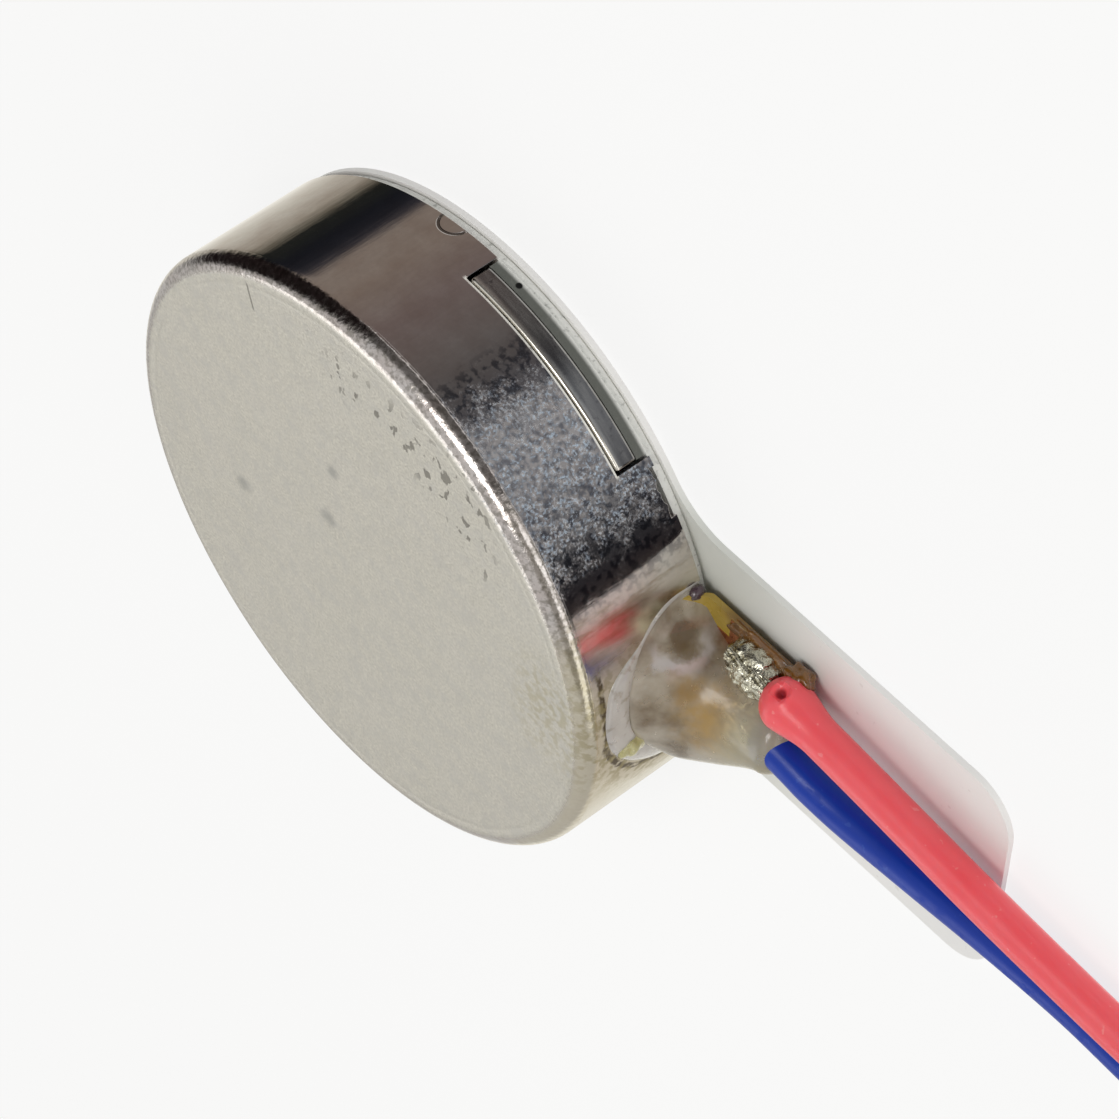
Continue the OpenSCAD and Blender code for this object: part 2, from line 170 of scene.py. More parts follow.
def soften(piece, width, segments=2, angle=40):
    """A live bevel on every edge sharper than the angle, so that cut edges catch the light."""
    bevel = piece.modifiers.new("edge", "BEVEL")
    bevel.width, bevel.segments = width * MM, segments
    bevel.limit_method, bevel.angle_limit = "ANGLE", math.radians(angle)
    bevel.use_clamp_overlap = True
    return piece


def belongs(piece, body, slot, material, *nodes):
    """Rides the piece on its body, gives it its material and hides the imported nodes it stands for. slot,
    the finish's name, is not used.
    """
    piece.data.materials.append(material)
    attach(piece, body)
    if nodes:
        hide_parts(*nodes)
    print(piece.name, "rides on the", body, "and is finished in", material.name)


# %% [markdown]
# Three shape helpers serve several pieces. `filled` spaces angles or heights so that every
# important edge falls on a grid line. `lathe` turns a closed outline round the shaft, and its
# radii may change with the angle. `lumps` gives the slow, irregular swelling of solder and glue.


# %% Shape helpers
def filled(stops, step):
    """All the stops in order, with even steps between neighbours, none wider than step."""
    gaps = [np.linspace(a, b, int(np.ceil((b - a) / step)) + 1)[:-1] for a, b in zip(stops, stops[1:])]
    return np.append(np.concatenate(gaps), stops[-1])


def smoothstep(value, low, high):
    """0 at low, 1 at high, and an even S curve between them, whichever of the two is larger."""
    t = np.clip((value - low) / (high - low), 0, 1)
    return t * t * (3 - 2 * t)


def lathe(radii, heights, angles):
    """Solid of revolution: point = (radius cos a, radius sin a, height), where radii holds one row
    for each corner of the closed outline and one column for each angle."""
    a = np.radians(angles)
    z = np.broadcast_to(np.array(heights)[:, None], radii.shape)
    sheet = np.stack([radii * np.cos(a), radii * np.sin(a), z], -1)
    sheet = np.concatenate([sheet, sheet[:1]])
    return sheet.reshape(-1, 3), grid_quads(len(sheet), len(angles), loop=True)


def lumps(points, pitch, seed):
    """Smooth bumps from -1 to 1: the mean of six sine waves that cross in different directions."""
    rng = np.random.default_rng(seed)
    waves = rng.normal(size=(3, 6)) * 2 * np.pi / pitch / math.sqrt(3)
    return np.sin(points @ waves + rng.uniform(0, 2 * np.pi, 6)).mean(-1)


print("shape helpers ready")

# %% [markdown]
# ## The two leads
# Each lead is a soft plastic tube, 0.6 mm thick, with tinned strands inside. It leaves the
# solder straight along +X, sinks under its own weight and then lies on the table. Its route is
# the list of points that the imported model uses. A curve through those points (each stretch a
# cubic whose slope at a point follows from its two neighbours) makes the line smooth, and
# circles set square to that line make the tube.

# %% Routes of the leads
RED_ROUTE = [
    [6.4, 1.7, 0.62], [6.9, 1.7, 0.62], [7.5, 1.67, 0.63], [8.5, 1.55, 0.62], [9.5, 1.42, 0.61],
    [10.5, 1.29, 0.6], [11.5, 1.17, 0.58], [12.5, 1.05, 0.55], [13.5, 0.95, 0.52], [15, 0.85, 0.46],
    [17, 0.85, 0.4], [19, 0.95, 0.35], [21, 1.1, 0.32], [24, 1.3, 0.3], [27, 1.4, 0.3],
    [30, 1.35, 0.3], [33, 1.25, 0.3], [36, 1.3, 0.3], [38.5, 1.45, 0.3], [40, 1.5, 0.3],
    [42, 1.5, 0.3],
]
BLUE_ROUTE = [
    [6.3, 0.6, 0.62], [6.6, 0.6, 0.62], [7, 0.5, 0.59], [7.4, 0.37, 0.55], [8, 0.27, 0.5],
    [8.8, 0.26, 0.46], [9.7, 0.33, 0.45], [10.7, 0.4, 0.43], [11.6, 0.43, 0.41],
    [12.5, 0.4, 0.38], [13.5, 0.3, 0.36], [15, 0.15, 0.33], [17, 0, 0.31], [19, -0.15, 0.3],
    [22, -0.35, 0.3], [25, -0.55, 0.3], [28, -0.7, 0.3], [31, -0.75, 0.3], [34, -0.75, 0.3],
    [37, -0.85, 0.3], [39.5, -1, 0.3], [41, -1.05, 0.3], [42.5, -1.05, 0.3],
]
LEAD_R = 0.3


def smooth_route(route, steps=10):
    """Cubic through every point, whose slope at a point is half the step between its neighbours."""
    p = np.array(route, float)
    slope = np.gradient(p, axis=0)
    t = np.linspace(0, 1, steps, endpoint=False)[None, :, None]
    a, b = p[:-1, None], p[1:, None]
    u, v = slope[:-1, None], slope[1:, None]
    curve = a * (1 + 2 * t) * (1 - t) ** 2 + b * t * t * (3 - 2 * t)
    curve = curve + u * t * (1 - t) ** 2 + v * t * t * (t - 1)
    return np.concatenate([curve.reshape(-1, 3), p[-1:]])


def run_length(path):
    """Distance along a path from its first point to each of its points."""
    return np.append(0, np.cumsum(np.linalg.norm(np.diff(path, axis=0), axis=1)))


def tube(path, radius, sides=32):
    """Circles set square to a path, closed at both ends: point = centre + radius * (cos a * side
    + sin a * up), where side is level and up stands square to the path."""
    along = np.gradient(path, axis=0)
    side = np.cross([0, 0, 1], along)
    side /= np.linalg.norm(side, axis=1, keepdims=True)
    up = np.cross(along, side)
    up /= np.linalg.norm(up, axis=1, keepdims=True)
    a = np.linspace(0, 2 * np.pi, sides, endpoint=False)[None, :, None]
    rings = path[:, None] + radius[..., None] * (np.cos(a) * side[:, None] + np.sin(a) * up[:, None])
    ends = [np.repeat(path[k][None, None], sides, axis=1) for k in (0, -1)]
    sheet = np.concatenate([ends[0], rings, ends[1]])
    return sheet.reshape(-1, 3), grid_quads(len(sheet), sides, loop=True)


red_path, blue_path = smooth_route(RED_ROUTE), smooth_route(BLUE_ROUTE)
print("red lead", round(run_length(red_path)[-1], 2), "mm, blue", round(run_length(blue_path)[-1], 2), "mm")

# %% [markdown]
# The soldering iron has melted the red lead's inner end into a wide rounded mass with a small
# pit near its upper corner, and the blue one swells only a little inside the resin. Both are
# changes of the tube's radius near its start, so the radius is a formula of the distance along
# the lead and the angle round it.

# %% Melted ends of the leads
LEAD_SIDES = 40


def melted_end(distance, swell, reach, pit_at=None):
    """Radius of a lead near its start: a ball-shaped end, swollen by swell and back to size after
    reach, with an optional pit with a raised lip at (distance, angle)."""
    s = distance[:, None]
    a = np.linspace(0, 2 * np.pi, LEAD_SIDES, endpoint=False)[None, :]
    full = LEAD_R + swell * (1 - smoothstep(s, reach * 0.25, reach))
    radius = full * np.sqrt(np.clip(1 - (1 - np.minimum(s / full, 1)) ** 2, 0, 1)) + 0 * a
    if pit_at:
        away = np.hypot(s - pit_at[0], (np.angle(np.exp(1j * (a - pit_at[1])))) * full)
        radius += 0.05 * np.exp(-(((away - 0.14) / 0.05) ** 2)) - 0.15 * np.exp(-((away / 0.1) ** 2))
    return radius


def lead_path(route_path):
    """The smooth route with extra close stations over its first millimetre."""
    s = run_length(route_path)
    stations = np.concatenate([np.linspace(0, 1.4, 46), s[s > 1.42]])
    return np.stack([np.interp(stations, s, route_path[:, k]) for k in range(3)], -1), stations


def lead_piece(name, route_path, swell, reach, pit_at=None):
    """One lead's tube, with faint uneven thickness along its run."""
    path, stations = lead_path(route_path)
    radius = melted_end(stations, swell, reach, pit_at)
    radius = radius + 0.006 * lumps(path, 3.0, 5)[:, None] * smoothstep(stations, 0.5, 2)[:, None]
    return add_mesh(name, *tube(path, radius, LEAD_SIDES), smooth=50)


RED_PIT = (0.36, math.radians(20))
red_lead = lead_piece("red_lead", red_path, 0.12, 1.1, pit_at=RED_PIT)
blue_lead = lead_piece("blue_lead", blue_path, 0.03, 0.5)

# %% [markdown]
# Each free end is stripped, and the seven tinned strands are twisted together. A strand is a
# tube along a helix: its angle grows in step with the distance along the lead.

# %% Twisted strands at both ends of each lead
STRAND_R = 0.041
TWIST_PITCH = 2.6


def strands(start, length):
    """Seven strands along +X: one on the axis and six on a helix round it."""
    x = np.linspace(0, length, max(12, int(length * 16)))
    tubes = []
    for k in range(7):
        turn = 2 * np.pi * (x / TWIST_PITCH + k / 6)
        off = 0 if k == 6 else 2 * STRAND_R * 0.97
        path = np.stack([x, off * np.cos(turn), off * np.sin(turn)], -1) + start
        tubes.append(tube(path, np.full((len(x), 1), STRAND_R), 12))
    return join_solids(*tubes)


def strand_piece(node):
    """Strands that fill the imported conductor's box from end to end."""
    low, high = corners(node)
    start = np.array([low[0], (low[1] + high[1]) / 2, (low[2] + high[2]) / 2])
    return add_mesh(node + "_strands", *strands(start, high[0] - low[0]))


strand_pieces = {n: strand_piece(n) for n in (
    "conductor_end_red", "conductor_end_blue", "lead_tip_red", "lead_tip_blue")}

# %% [markdown]
# ## Shader nodes
# A finish is a chain of nodes. Linking them one by one takes three lines a node, so a small
# builder keeps the materials readable: a socket passed in is linked, and a number or a colour is
# set on the input. A finish then reads as a base colour with tints laid over it through masks.


# %% Node builder
class Tree:
    """Adds nodes to one node tree."""

    def __init__(self, tree):
        self.tree = tree

    def add(self, kind, inputs=None, **settings):
        """A new node of a kind, with its settings, and its inputs linked or set."""
        node = self.tree.nodes.new("ShaderNode" + kind)
        for key, value in settings.items():
            setattr(node, key, value)
        for key, value in (inputs or {}).items():
            self.put(node.inputs[key], value)
        return node

    def put(self, socket, value):
        """Links a socket to the input, or sets a plain value on it."""
        if isinstance(value, bpy.types.NodeSocket):
            self.tree.links.new(value, socket)
        else:
            socket.default_value = value

    def math(self, operation, *values):
        """Result of one maths node."""
        return self.add("Math", dict(enumerate(values)), operation=operation).outputs[0]

    def fold(self, operation, values):
        """One maths node after another over all the values."""
        result = values[0]
        for value in values[1:]:
            result = self.math(operation, result, value)
        return result

    def times(self, *values):
        """Product of several masks or numbers."""
        return self.fold("MULTIPLY", values)

    def highest(self, *values):
        """Largest of several masks."""
        return self.fold("MAXIMUM", values)

    def ramp(self, value, low, high, to_low=0.0, to_high=1.0):
        """Soft S curve from to_low to to_high while the value goes from low to high."""
        inputs = {0: value, 1: low, 2: high, 3: to_low, 4: to_high}
        return self.add("MapRange", inputs, interpolation_type="SMOOTHSTEP").outputs[0]

    def blend(self, factor, a, b):
        """Number a where the factor is 0 and b where it is 1."""
        return self.add("Mix", {0: factor, 2: a, 3: b}).outputs[0]

    def mix(self, factor, a, b):
        """Colour a where the factor is 0 and b where it is 1."""
        return self.add("Mix", {0: factor, 6: a, 7: b}, data_type="RGBA").outputs[2]

    def between(self, factor, low, high):
        """Colour that goes from low to high with the factor, both in paint picker numbers."""
        return self.mix(factor, srgb(*low), srgb(*high))

    def tinted(self, colour, tint, *masks):
        """The colour with a tint, in paint picker numbers, laid over it where all masks are 1."""
        return self.mix(self.times(*masks), colour, srgb(*tint))

    def group(self, group, **inputs):
        """First output of a node group placed with these inputs."""
        node = self.add("Group", node_tree=group)
        for key, value in inputs.items():
            self.put(node.inputs[key.replace("_", " ")], value)
        return node.outputs[0]

    def zone(self, value, start, end, soft):
        """1 between start and end and 0 outside, with soft steps of that width just inside them."""
        return self.group(ZONE, Value=value, From=start, To=end, Soft=soft)


def srgb(r, g, b):
    """A colour in the 0 to 255 numbers of a paint picker, as the linear colour a shader wants."""
    c = np.array([r, g, b]) / 255
    linear = np.where(c <= 0.04045, c / 12.92, ((c + 0.055) / 1.055) ** 2.4)
    return (*linear.tolist(), 1.0)


def new_group(name, inputs, output):
    """A group's builder, its named inputs, given as name: (socket type, default), and its output."""
    tree = bpy.data.node_groups.new(name, "ShaderNodeTree")
    for key, (kind, default) in inputs.items():
        socket = tree.interface.new_socket(key, in_out="INPUT", socket_type="NodeSocket" + kind)
        if default is not None:
            socket.default_value = default
    tree.interface.new_socket(output, in_out="OUTPUT", socket_type="NodeSocketFloat")
    source, sink = tree.nodes.new("NodeGroupInput"), tree.nodes.new("NodeGroupOutput")
    return Tree(tree), source.outputs, sink.inputs[output]


print("node builder ready")

# %% [markdown]
# Clouds, spots and bands turn up in nearly every finish. Copying their nodes into each material
# would work, but a group is built once, has named inputs, and is mended in one place.
# `mottle` is soft cloudy variation, `specks` is scattered spots, and `zone` is 1 between two
# values of a measure and 0 outside them.

# %% Shared effects
build, given, out = new_group(
    "mottle", {"Vector": ("Vector", None), "Scale": ("Float", 5.0), "Contrast": ("Float", 1.0)}, "Value")
cloud = build.add("TexNoise", {"Vector": given["Vector"], "Scale": given["Scale"], "Detail": 4.0})
spread = build.math("MULTIPLY", build.math("SUBTRACT", cloud.outputs[0], 0.5), given["Contrast"])
build.put(out, build.math("ADD", spread, 0.5))
MOTTLE = build.tree

build, given, out = new_group(
    "specks", {"Vector": ("Vector", None), "Scale": ("Float", 10.0), "Level": ("Float", 0.62)}, "Mask")
cloud = build.add("TexNoise", {"Vector": given["Vector"], "Scale": given["Scale"], "Detail": 2.0})
top = build.math("ADD", given["Level"], 0.05)
build.put(out, build.ramp(cloud.outputs[0], given["Level"], top))
SPECKS = build.tree

build, given, out = new_group(
    "zone",
    {"Value": ("Float", 0.0), "From": ("Float", 0.0), "To": ("Float", 1.0), "Soft": ("Float", 0.1)}, "Mask")
risen = build.math("ADD", given["From"], given["Soft"])
falling = build.math("SUBTRACT", given["To"], given["Soft"])
rise = build.ramp(given["Value"], given["From"], risen)
fall = build.ramp(given["Value"], falling, given["To"], 1.0, 0.0)
build.put(out, build.math("MULTIPLY", rise, fall))
ZONE = build.tree
print("node groups:", MOTTLE.name, SPECKS.name, ZONE.name)

# %% [markdown]
# A finish starts with the place on the piece in millimetres, so that grain and spots have their
# real size, and ends in one Principled shader. `Finish` holds both, with the few patterns that
# every finish asks for.


# %% Start of every finish
class Finish(Tree):
    """A new material with its Principled shader and the place on the piece in millimetres."""

    def __init__(self, name, **plain):
        self.material = bpy.data.materials.new(name)
        self.material.use_nodes = True
        super().__init__(self.material.node_tree)
        self.shader = self.tree.nodes["Principled BSDF"]
        for key, value in plain.items():
            self.shader.inputs[key.replace("_", " ")].default_value = value
        place = self.add("TexCoord").outputs["Object"]
        self.place = self.add("VectorMath", {0: place, 3: 1 / MM}, operation="SCALE").outputs[0]
        self.x, self.y, self.z = self.add("SeparateXYZ", {0: self.place}).outputs

    def stretched(self, x, y, z):
        """The place scaled differently along each axis, for grain that runs one way."""
        return self.add("VectorMath", {0: self.place, 1: (x, y, z)}, operation="MULTIPLY").outputs[0]

    def mottle(self, scale, contrast=1.0, vector=None):
        """Clouds round 0.5, scale of them to the millimetre."""
        return self.group(MOTTLE, Vector=vector or self.place, Scale=scale, Contrast=contrast)

    def specks(self, scale, level, vector=None):
        """Scattered spots, fewer the higher the level."""
        return self.group(SPECKS, Vector=vector or self.place, Scale=scale, Level=level)

    def length(self, a, b):
        """Straight distance from two distances square to each other."""
        squares = self.math("ADD", self.math("POWER", a, 2.0), self.math("POWER", b, 2.0))
        return self.math("SQRT", squares)

    def wavering(self, value, scale, amount):
        """The value shifted by clouds, so that an edge drawn from it is ragged."""
        shift = self.math("MULTIPLY", self.math("SUBTRACT", self.mottle(scale), 0.5), amount)
        return self.math("ADD", value, shift)

    def away(self, point):
        """Distance from a point in millimetres."""
        return self.add("VectorMath", {0: self.place, 1: point}, operation="DISTANCE").outputs["Value"]

    def near(self, point, radius, soft=0.6, ragged=0.0):
        """1 close to a point, falling to 0 at radius; ragged breaks up the outline."""
        away = self.away(point)
        if ragged:
            away = self.wavering(away, 7.0, ragged)
        return self.ramp(away, radius, radius * (1 - soft))

    def roughness(self, cloud, smooth, rough):
        """Roughness from smooth to rough with a cloudy value."""
        return self.ramp(cloud, 0.2, 0.8, smooth, rough)

    def bump(self, height, strength, distance=0.01, after=None):
        """Bump from a height whose full range is distance millimetres."""
        inputs = {"Height": height, "Strength": strength, "Distance": distance * MM}
        if after:
            inputs["Normal"] = after
        return self.add("Bump", inputs).outputs[0]

    def done(self, colour, roughness, normal, **sockets):
        """Feeds the shader's inputs and gives back the material."""
        sockets.update({"Base_Color": colour, "Roughness": roughness, "Normal": normal})
        for key, value in sockets.items():
            self.put(self.shader.inputs[key.replace("_", " ")], value)
        return self.material


print("finish helper ready")

# %% [markdown]
# ## The nickel-plated can
# The can is drawn from thin steel and plated. Its side is nearly a mirror, its closed face is
# satin, and the rounded rim between them is scuffed bright. It has four openings at its edge: the
# arch for the circuit, and three slots for the bracket's ears. One surface can make all of it: a
# grid whose columns go round the can and whose rows climb the side, turn over the rim and run in
# to the middle of the face. Rows above the arch are squeezed to follow its curve. Cells inside
# the openings are left out, and the wall helper closes every edge.

# %% Openings of the can
SLOT_MIDS = (67.8, 180.0, -67.8)
SLOT_HALF = 20.5
SLOT_TOP = film_top - film_thick + 0.04
ARCH_Y, ARCH_HALF, ARCH_TOP = 0.68, 1.33, can_foot + 1.63
ARCH_FOOT = ARCH_TOP - ARCH_HALF
NICK_MID, NICK_HALF, NICK_TOP = 41.0, 4.5, can_foot + 0.1
RIM_R = 0.3
RIM_FOOT = can_top - RIM_R


def arch_height(y):
    """Height of the arch's edge at the sideways place y: a half circle on straight sides."""
    return ARCH_FOOT + np.sqrt(np.clip(ARCH_HALF**2 - (y - ARCH_Y) ** 2, 0, None))


def under_arch(y, ahead):
    """True for places on the front of the can that lie between the arch's sides."""
    return (np.abs(y - ARCH_Y) < ARCH_HALF - 1e-4) & (ahead > 0)


def can_columns():
    """Angles of the grid's columns, with one on every side of every opening."""
    turn = np.radians(np.concatenate([[-90], np.linspace(-75, 75, 21), [90]]))
    arch = np.degrees(np.arcsin((ARCH_Y + ARCH_HALF * np.sin(turn)) / can_r))
    sides = [m + s for m in SLOT_MIDS for s in (-SLOT_HALF, SLOT_HALF)]
    nick = [NICK_MID - NICK_HALF, NICK_MID + NICK_HALF]
    wrapped = (np.array(sides + nick) + 180) % 360 - 180
    stops = np.unique(np.round(np.concatenate([arch, wrapped, [-180, 180]]), 4))
    return filled(stops, 0.75)[:-1]


columns = can_columns()
print(len(columns), "columns round the can")


# %% [markdown]
# The can is one closed profile, wall, rim and face, carried round its columns. A cutter taken
# away from a plain cup would leave long thin triangles round the arch, and those shade badly on
# polished metal. Bending the grid's own rows to the arch keeps every cell near square.


# %% The can's surface
def can_profile(r, rim, top, ceiling_dip):
    """Radius and height up one side of the can: straight wall, quarter-circle rim, flat face with
    a faint ring pressed in near its edge."""
    wall_z = filled([can_foot, NICK_TOP, ARCH_FOOT, SLOT_TOP, RIM_FOOT], 0.08)
    squeeze = (top - rim - SLOT_TOP) / (RIM_FOOT - SLOT_TOP)
    z = wall_z + np.maximum(wall_z - SLOT_TOP, 0) * (squeeze - 1)
    turn = np.radians(np.linspace(0, 90, 15)[1:])
    face_r = (r - rim) * np.concatenate([1 - np.linspace(0, 0.04, 9)[1:], np.linspace(0.93, 0, 16)])
    dip = ceiling_dip * np.exp(-(((face_r - 4.6) / 0.03) ** 2))
    radii = np.concatenate([np.full(len(z), r), r - rim + rim * np.cos(turn), face_r])
    heights = np.concatenate([z, top - rim + rim * np.sin(turn), top - dip])
    return radii, heights, wall_z


def can_sheet(r, rim, top, dip):
    """The profile carried round every column, with rows squeezed above the arch and the nick's
    edge made ragged."""
    radii, heights, wall_z = can_profile(r, rim, top, dip)
    angle = np.radians(columns)[None, :]
    y = can_r * np.sin(angle)
    in_arch = under_arch(y, np.cos(angle))
    arch = np.where(in_arch, arch_height(y), ARCH_FOOT)
    z = np.repeat(heights[:, None], len(columns), axis=1)
    wall_end = top - rim
    low = can_foot + (z - can_foot) * (arch - can_foot) / (ARCH_FOOT - can_foot)
    high = arch + (z - ARCH_FOOT) * (wall_end - arch) / (wall_end - ARCH_FOOT)
    rows = np.arange(len(heights))[:, None]
    squeezed = np.where(z <= ARCH_FOOT + 1e-6, low, high)
    z = np.where((rows < len(wall_z)) & in_arch, squeezed, z)
    nick_row = int(np.argmin(np.abs(wall_z - NICK_TOP)))
    in_nick = np.abs(columns - NICK_MID) < NICK_HALF - 0.3
    z[nick_row, in_nick] += 0.035 * np.sin(columns[in_nick] * 2.3) * np.cos(columns[in_nick] * 5.1)
    wide = np.repeat(radii[:, None], len(columns), axis=1)
    return np.stack([wide * np.cos(angle), wide * np.sin(angle), z], -1), wall_z


def can_cells(wall_z, rows):
    """Quads of the can's grid without the cells of the arch, the slots and the nick."""
    quads = grid_quads(rows, len(columns), loop=True)
    row, column = quads[:, 0] // len(columns), quads[:, 0] % len(columns)
    height = (wall_z[np.minimum(row, len(wall_z) - 2)] + wall_z[np.minimum(row, len(wall_z) - 2) + 1]) / 2
    height = np.where(row < len(wall_z) - 1, height, can_top)
    middle = columns + np.diff(np.append(columns, 180)) / 2
    angle = middle[column]
    away = [np.abs((angle - m + 180) % 360 - 180) < SLOT_HALF for m in SLOT_MIDS]
    y, ahead = can_r * np.sin(np.radians(angle)), np.cos(np.radians(angle))
    gone = under_arch(y, ahead) & (height < ARCH_FOOT)
    gone |= np.any(away, axis=0) & (height < SLOT_TOP)
    gone |= (np.abs(angle - NICK_MID) < NICK_HALF) & (height < NICK_TOP)
    return quads[~gone]


outer, wall_z = can_sheet(can_r, RIM_R, can_top, 0.003)
inner, _ = can_sheet(can_r - can_wall, RIM_R - can_wall / 2, can_top - can_wall, 0.0)
cells = can_cells(wall_z, len(outer))
can = add_mesh("can", *walled(outer.reshape(-1, 3), inner.reshape(-1, 3), cells), smooth=45)
soften(can, 0.022, 3)

# %% [markdown]
# The plating is one metal with three finishes side by side: a satin face, a scuffed rim and a
# polished side. Cutting the can into three pieces would leave seams. Instead the height and the
# distance from the shaft say which finish a place has: each zone is a mask, 1 inside and 0
# outside. The angle round the can and the distance from the arch place the marks.


# %% Zones of the can
class CanFinish(Finish):
    """The can's material, with its angle, its distances and the masks of its three zones."""

    def __init__(self):
        super().__init__("nickel_case")
        self.turn = self.math("MULTIPLY", self.math("ARCTAN2", self.y, self.x), 180 / math.pi)
        self.radius = self.length(self.x, self.y)
        at_top = self.ramp(self.z, can_top - 0.1, can_top - 0.03)
        self.face = self.times(self.ramp(self.radius, can_r - 0.16, can_r - 0.3), at_top)
        self.off_face = self.math("SUBTRACT", 1.0, self.face)
        self.rim = self.times(self.ramp(self.z, RIM_FOOT + 0.02, RIM_FOOT + 0.06), self.off_face)
        self.side = self.math("SUBTRACT", 1.0, self.highest(self.face, self.rim))
        self.front = self.ramp(self.x, 3.2, 4.0)
        above_foot = self.math("MAXIMUM", self.math("SUBTRACT", self.z, ARCH_FOOT), 0.0)
        from_middle = self.length(self.math("SUBTRACT", self.y, ARCH_Y), above_foot)
        self.from_arch = self.math("SUBTRACT", from_middle, ARCH_HALF)


print("the can's finish has a face, a rim and a side")

# %% [markdown]
# The side is polished, with reddish and grey clouds and fine marks from the drawing die. A
# frosted patch with a ragged edge covers part of it: pale scuff flecks with painted glints, and
# dark blotches at its ends. Beside the arch it is scraped. Each is a tint laid over the last
# through its own mask.


# %% Side of the can
def frosted_patch(f):
    """Masks of the patch, of its pale scuff flecks with painted glints, and of the dark blotches at its ends.
    """
    frost = f.times(f.zone(f.wavering(f.turn, 3.5, 22.0), 33.0, 75.0, 14.0), f.side)
    fleck_and_glint = f.times(f.ramp(f.mottle(24.0, 1.9), 0.38, 0.95), f.ramp(f.mottle(5.0, 1.5), 0.15, 0.62))
    ends = f.highest(f.zone(f.turn, 26.0, 56.0, 10.0), f.zone(f.turn, 64.0, 77.0, 4.0))
    dark = f.times(f.ramp(f.mottle(8.5, 1.8), 0.42, 0.72), ends, f.side)
    return frost, fleck_and_glint, dark


def side_colour(f, streaks, frost, fleck_and_glint, dark):
    """Clouds, drawn marks, the scraped stretch and the frosted patch, one over the other."""
    scraped = f.ramp(f.mottle(8.0, 1.8, f.stretched(1.0, 1.0, 0.25)), 0.45, 0.8)
    wall = f.between(f.mottle(2.6, 1.6), (206, 194, 188), (232, 228, 226))
    wall = f.tinted(wall, (176, 172, 176), f.mottle(15.0, 1.3), 0.30)
    wall = f.tinted(wall, (168, 158, 152), streaks, 0.22)
    wall = f.tinted(wall, (150, 136, 118), scraped, f.zone(f.turn, 12.0, 33.0, 4.0), 0.7)
    wall = f.tinted(wall, (96, 98, 108), dark, 0.8)
    wall = f.tinted(wall, (92, 96, 108), frost, f.ramp(f.mottle(12.0, 1.6), 0.3, 0.7), 0.7)
    # Pale flecks: real scuffs in the frost, with their glints painted into the colour.
    return f.tinted(wall, (188, 204, 220), frost, fleck_and_glint)


print("side: clouds, drawn marks, scraped stretch and frosted patch")

# %% [markdown]
# The closed face is satin: fine grain on cloudy patches. Handling has left pits near its front,
# a short scratch and a few smudges, which a uniform metal would lack.

# %% Face of the can
# Middle (x, y) and radius of each smudge
SMUDGES = [(-2.55, -0.67, 0.24), (-0.5, 1.55, 0.2), (-0.6, 0.4, 0.24)]


def face_wear(f):
    """Masks of the pits, the smudges and the scratch."""
    along, across = f.zone(f.x, -0.9, 3.2, 0.6), f.zone(f.y, 1.9, 4.5, 0.6)
    where = f.times(along, across, f.ramp(f.radius, 3.2, 3.7), f.face)
    pits = f.times(f.specks(6.0, 0.58, f.stretched(1.0, 0.6, 1.0)), f.specks(1.6, 0.42), where)
    smudges = f.highest(*[f.near((x, y, can_top), size, 0.9, 0.2) for x, y, size in SMUDGES])
    slant = f.math("ADD", f.x, f.times(f.y, 0.35))
    scratch = f.times(f.zone(slant, -1.03, -0.97, 0.02), f.zone(f.y, 3.5, 4.05, 0.1), f.face)
    return pits, smudges, scratch


def face_colour(f, grain, pits, smudges, scratch):
    """Grain between two greys, then patches, pits with the scratch, and smudges."""
    skin = f.between(grain, (174, 170, 159), (224, 220, 208))
    skin = f.tinted(skin, (186, 184, 178), f.ramp(f.mottle(5.0, 1.5), 0.35, 0.85), 0.45)
    skin = f.tinted(skin, (206, 202, 198), f.mottle(1.0), 0.25)
    skin = f.tinted(skin, (112, 108, 100), f.highest(pits, scratch), 0.75)
    return f.tinted(skin, (126, 126, 126), smudges, 0.45)


print("face:", len(SMUDGES), "smudges, pits and a scratch")

# %% [markdown]
# The last tints cross the zones. The rim is gritty, the plating is warmer beside the arch, and
# flux has crept out of the resin as an olive stain with a thin brown line. A half oval is scribed
# beside the second ear, and a painted highlight runs along the cut edges over the ears.


# %% Stains and marks of the can
def edge_tints(f, colour):
    """Grit on the rim, and a warm tint beside the arch."""
    grit = f.ramp(f.mottle(13.0, 1.8), 0.35, 0.75)
    less_by_arch = f.ramp(f.turn, 10.0, 34.0, 0.15, 1.0)
    colour = f.tinted(colour, (132, 127, 118), f.rim, grit, 0.6, less_by_arch)
    return f.tinted(colour, (216, 208, 180), f.front, f.ramp(f.turn, 34.0, 20.0), f.off_face, 0.6)


def flux_stains(f, colour):
    """A brown line over and beside the arch, and an olive creep that fades away from it."""
    above = f.times(f.zone(f.wavering(f.z, 3.0, 0.25), 2.22, 2.36, 0.05), f.zone(f.y, -0.1, 1.9, 0.4))
    edge = f.zone(f.wavering(f.from_arch, 6.0, 0.12), 0.40, 0.54, 0.04)
    below = f.times(edge, f.ramp(f.y, 0.5, 0.0))
    line = f.times(f.highest(above, below), f.ramp(f.mottle(8.0, 1.5), 0.2, 0.5), f.front)
    creep = f.times(f.ramp(f.from_arch, 1.35, 0.4), f.ramp(f.mottle(7.0, 1.6), 0.40, 0.66), f.front)
    colour = f.tinted(colour, (72, 56, 28), line, 0.9)
    return f.tinted(colour, (164, 153, 112), creep, f.ramp(f.y, 2.3, 1.0), 0.75)


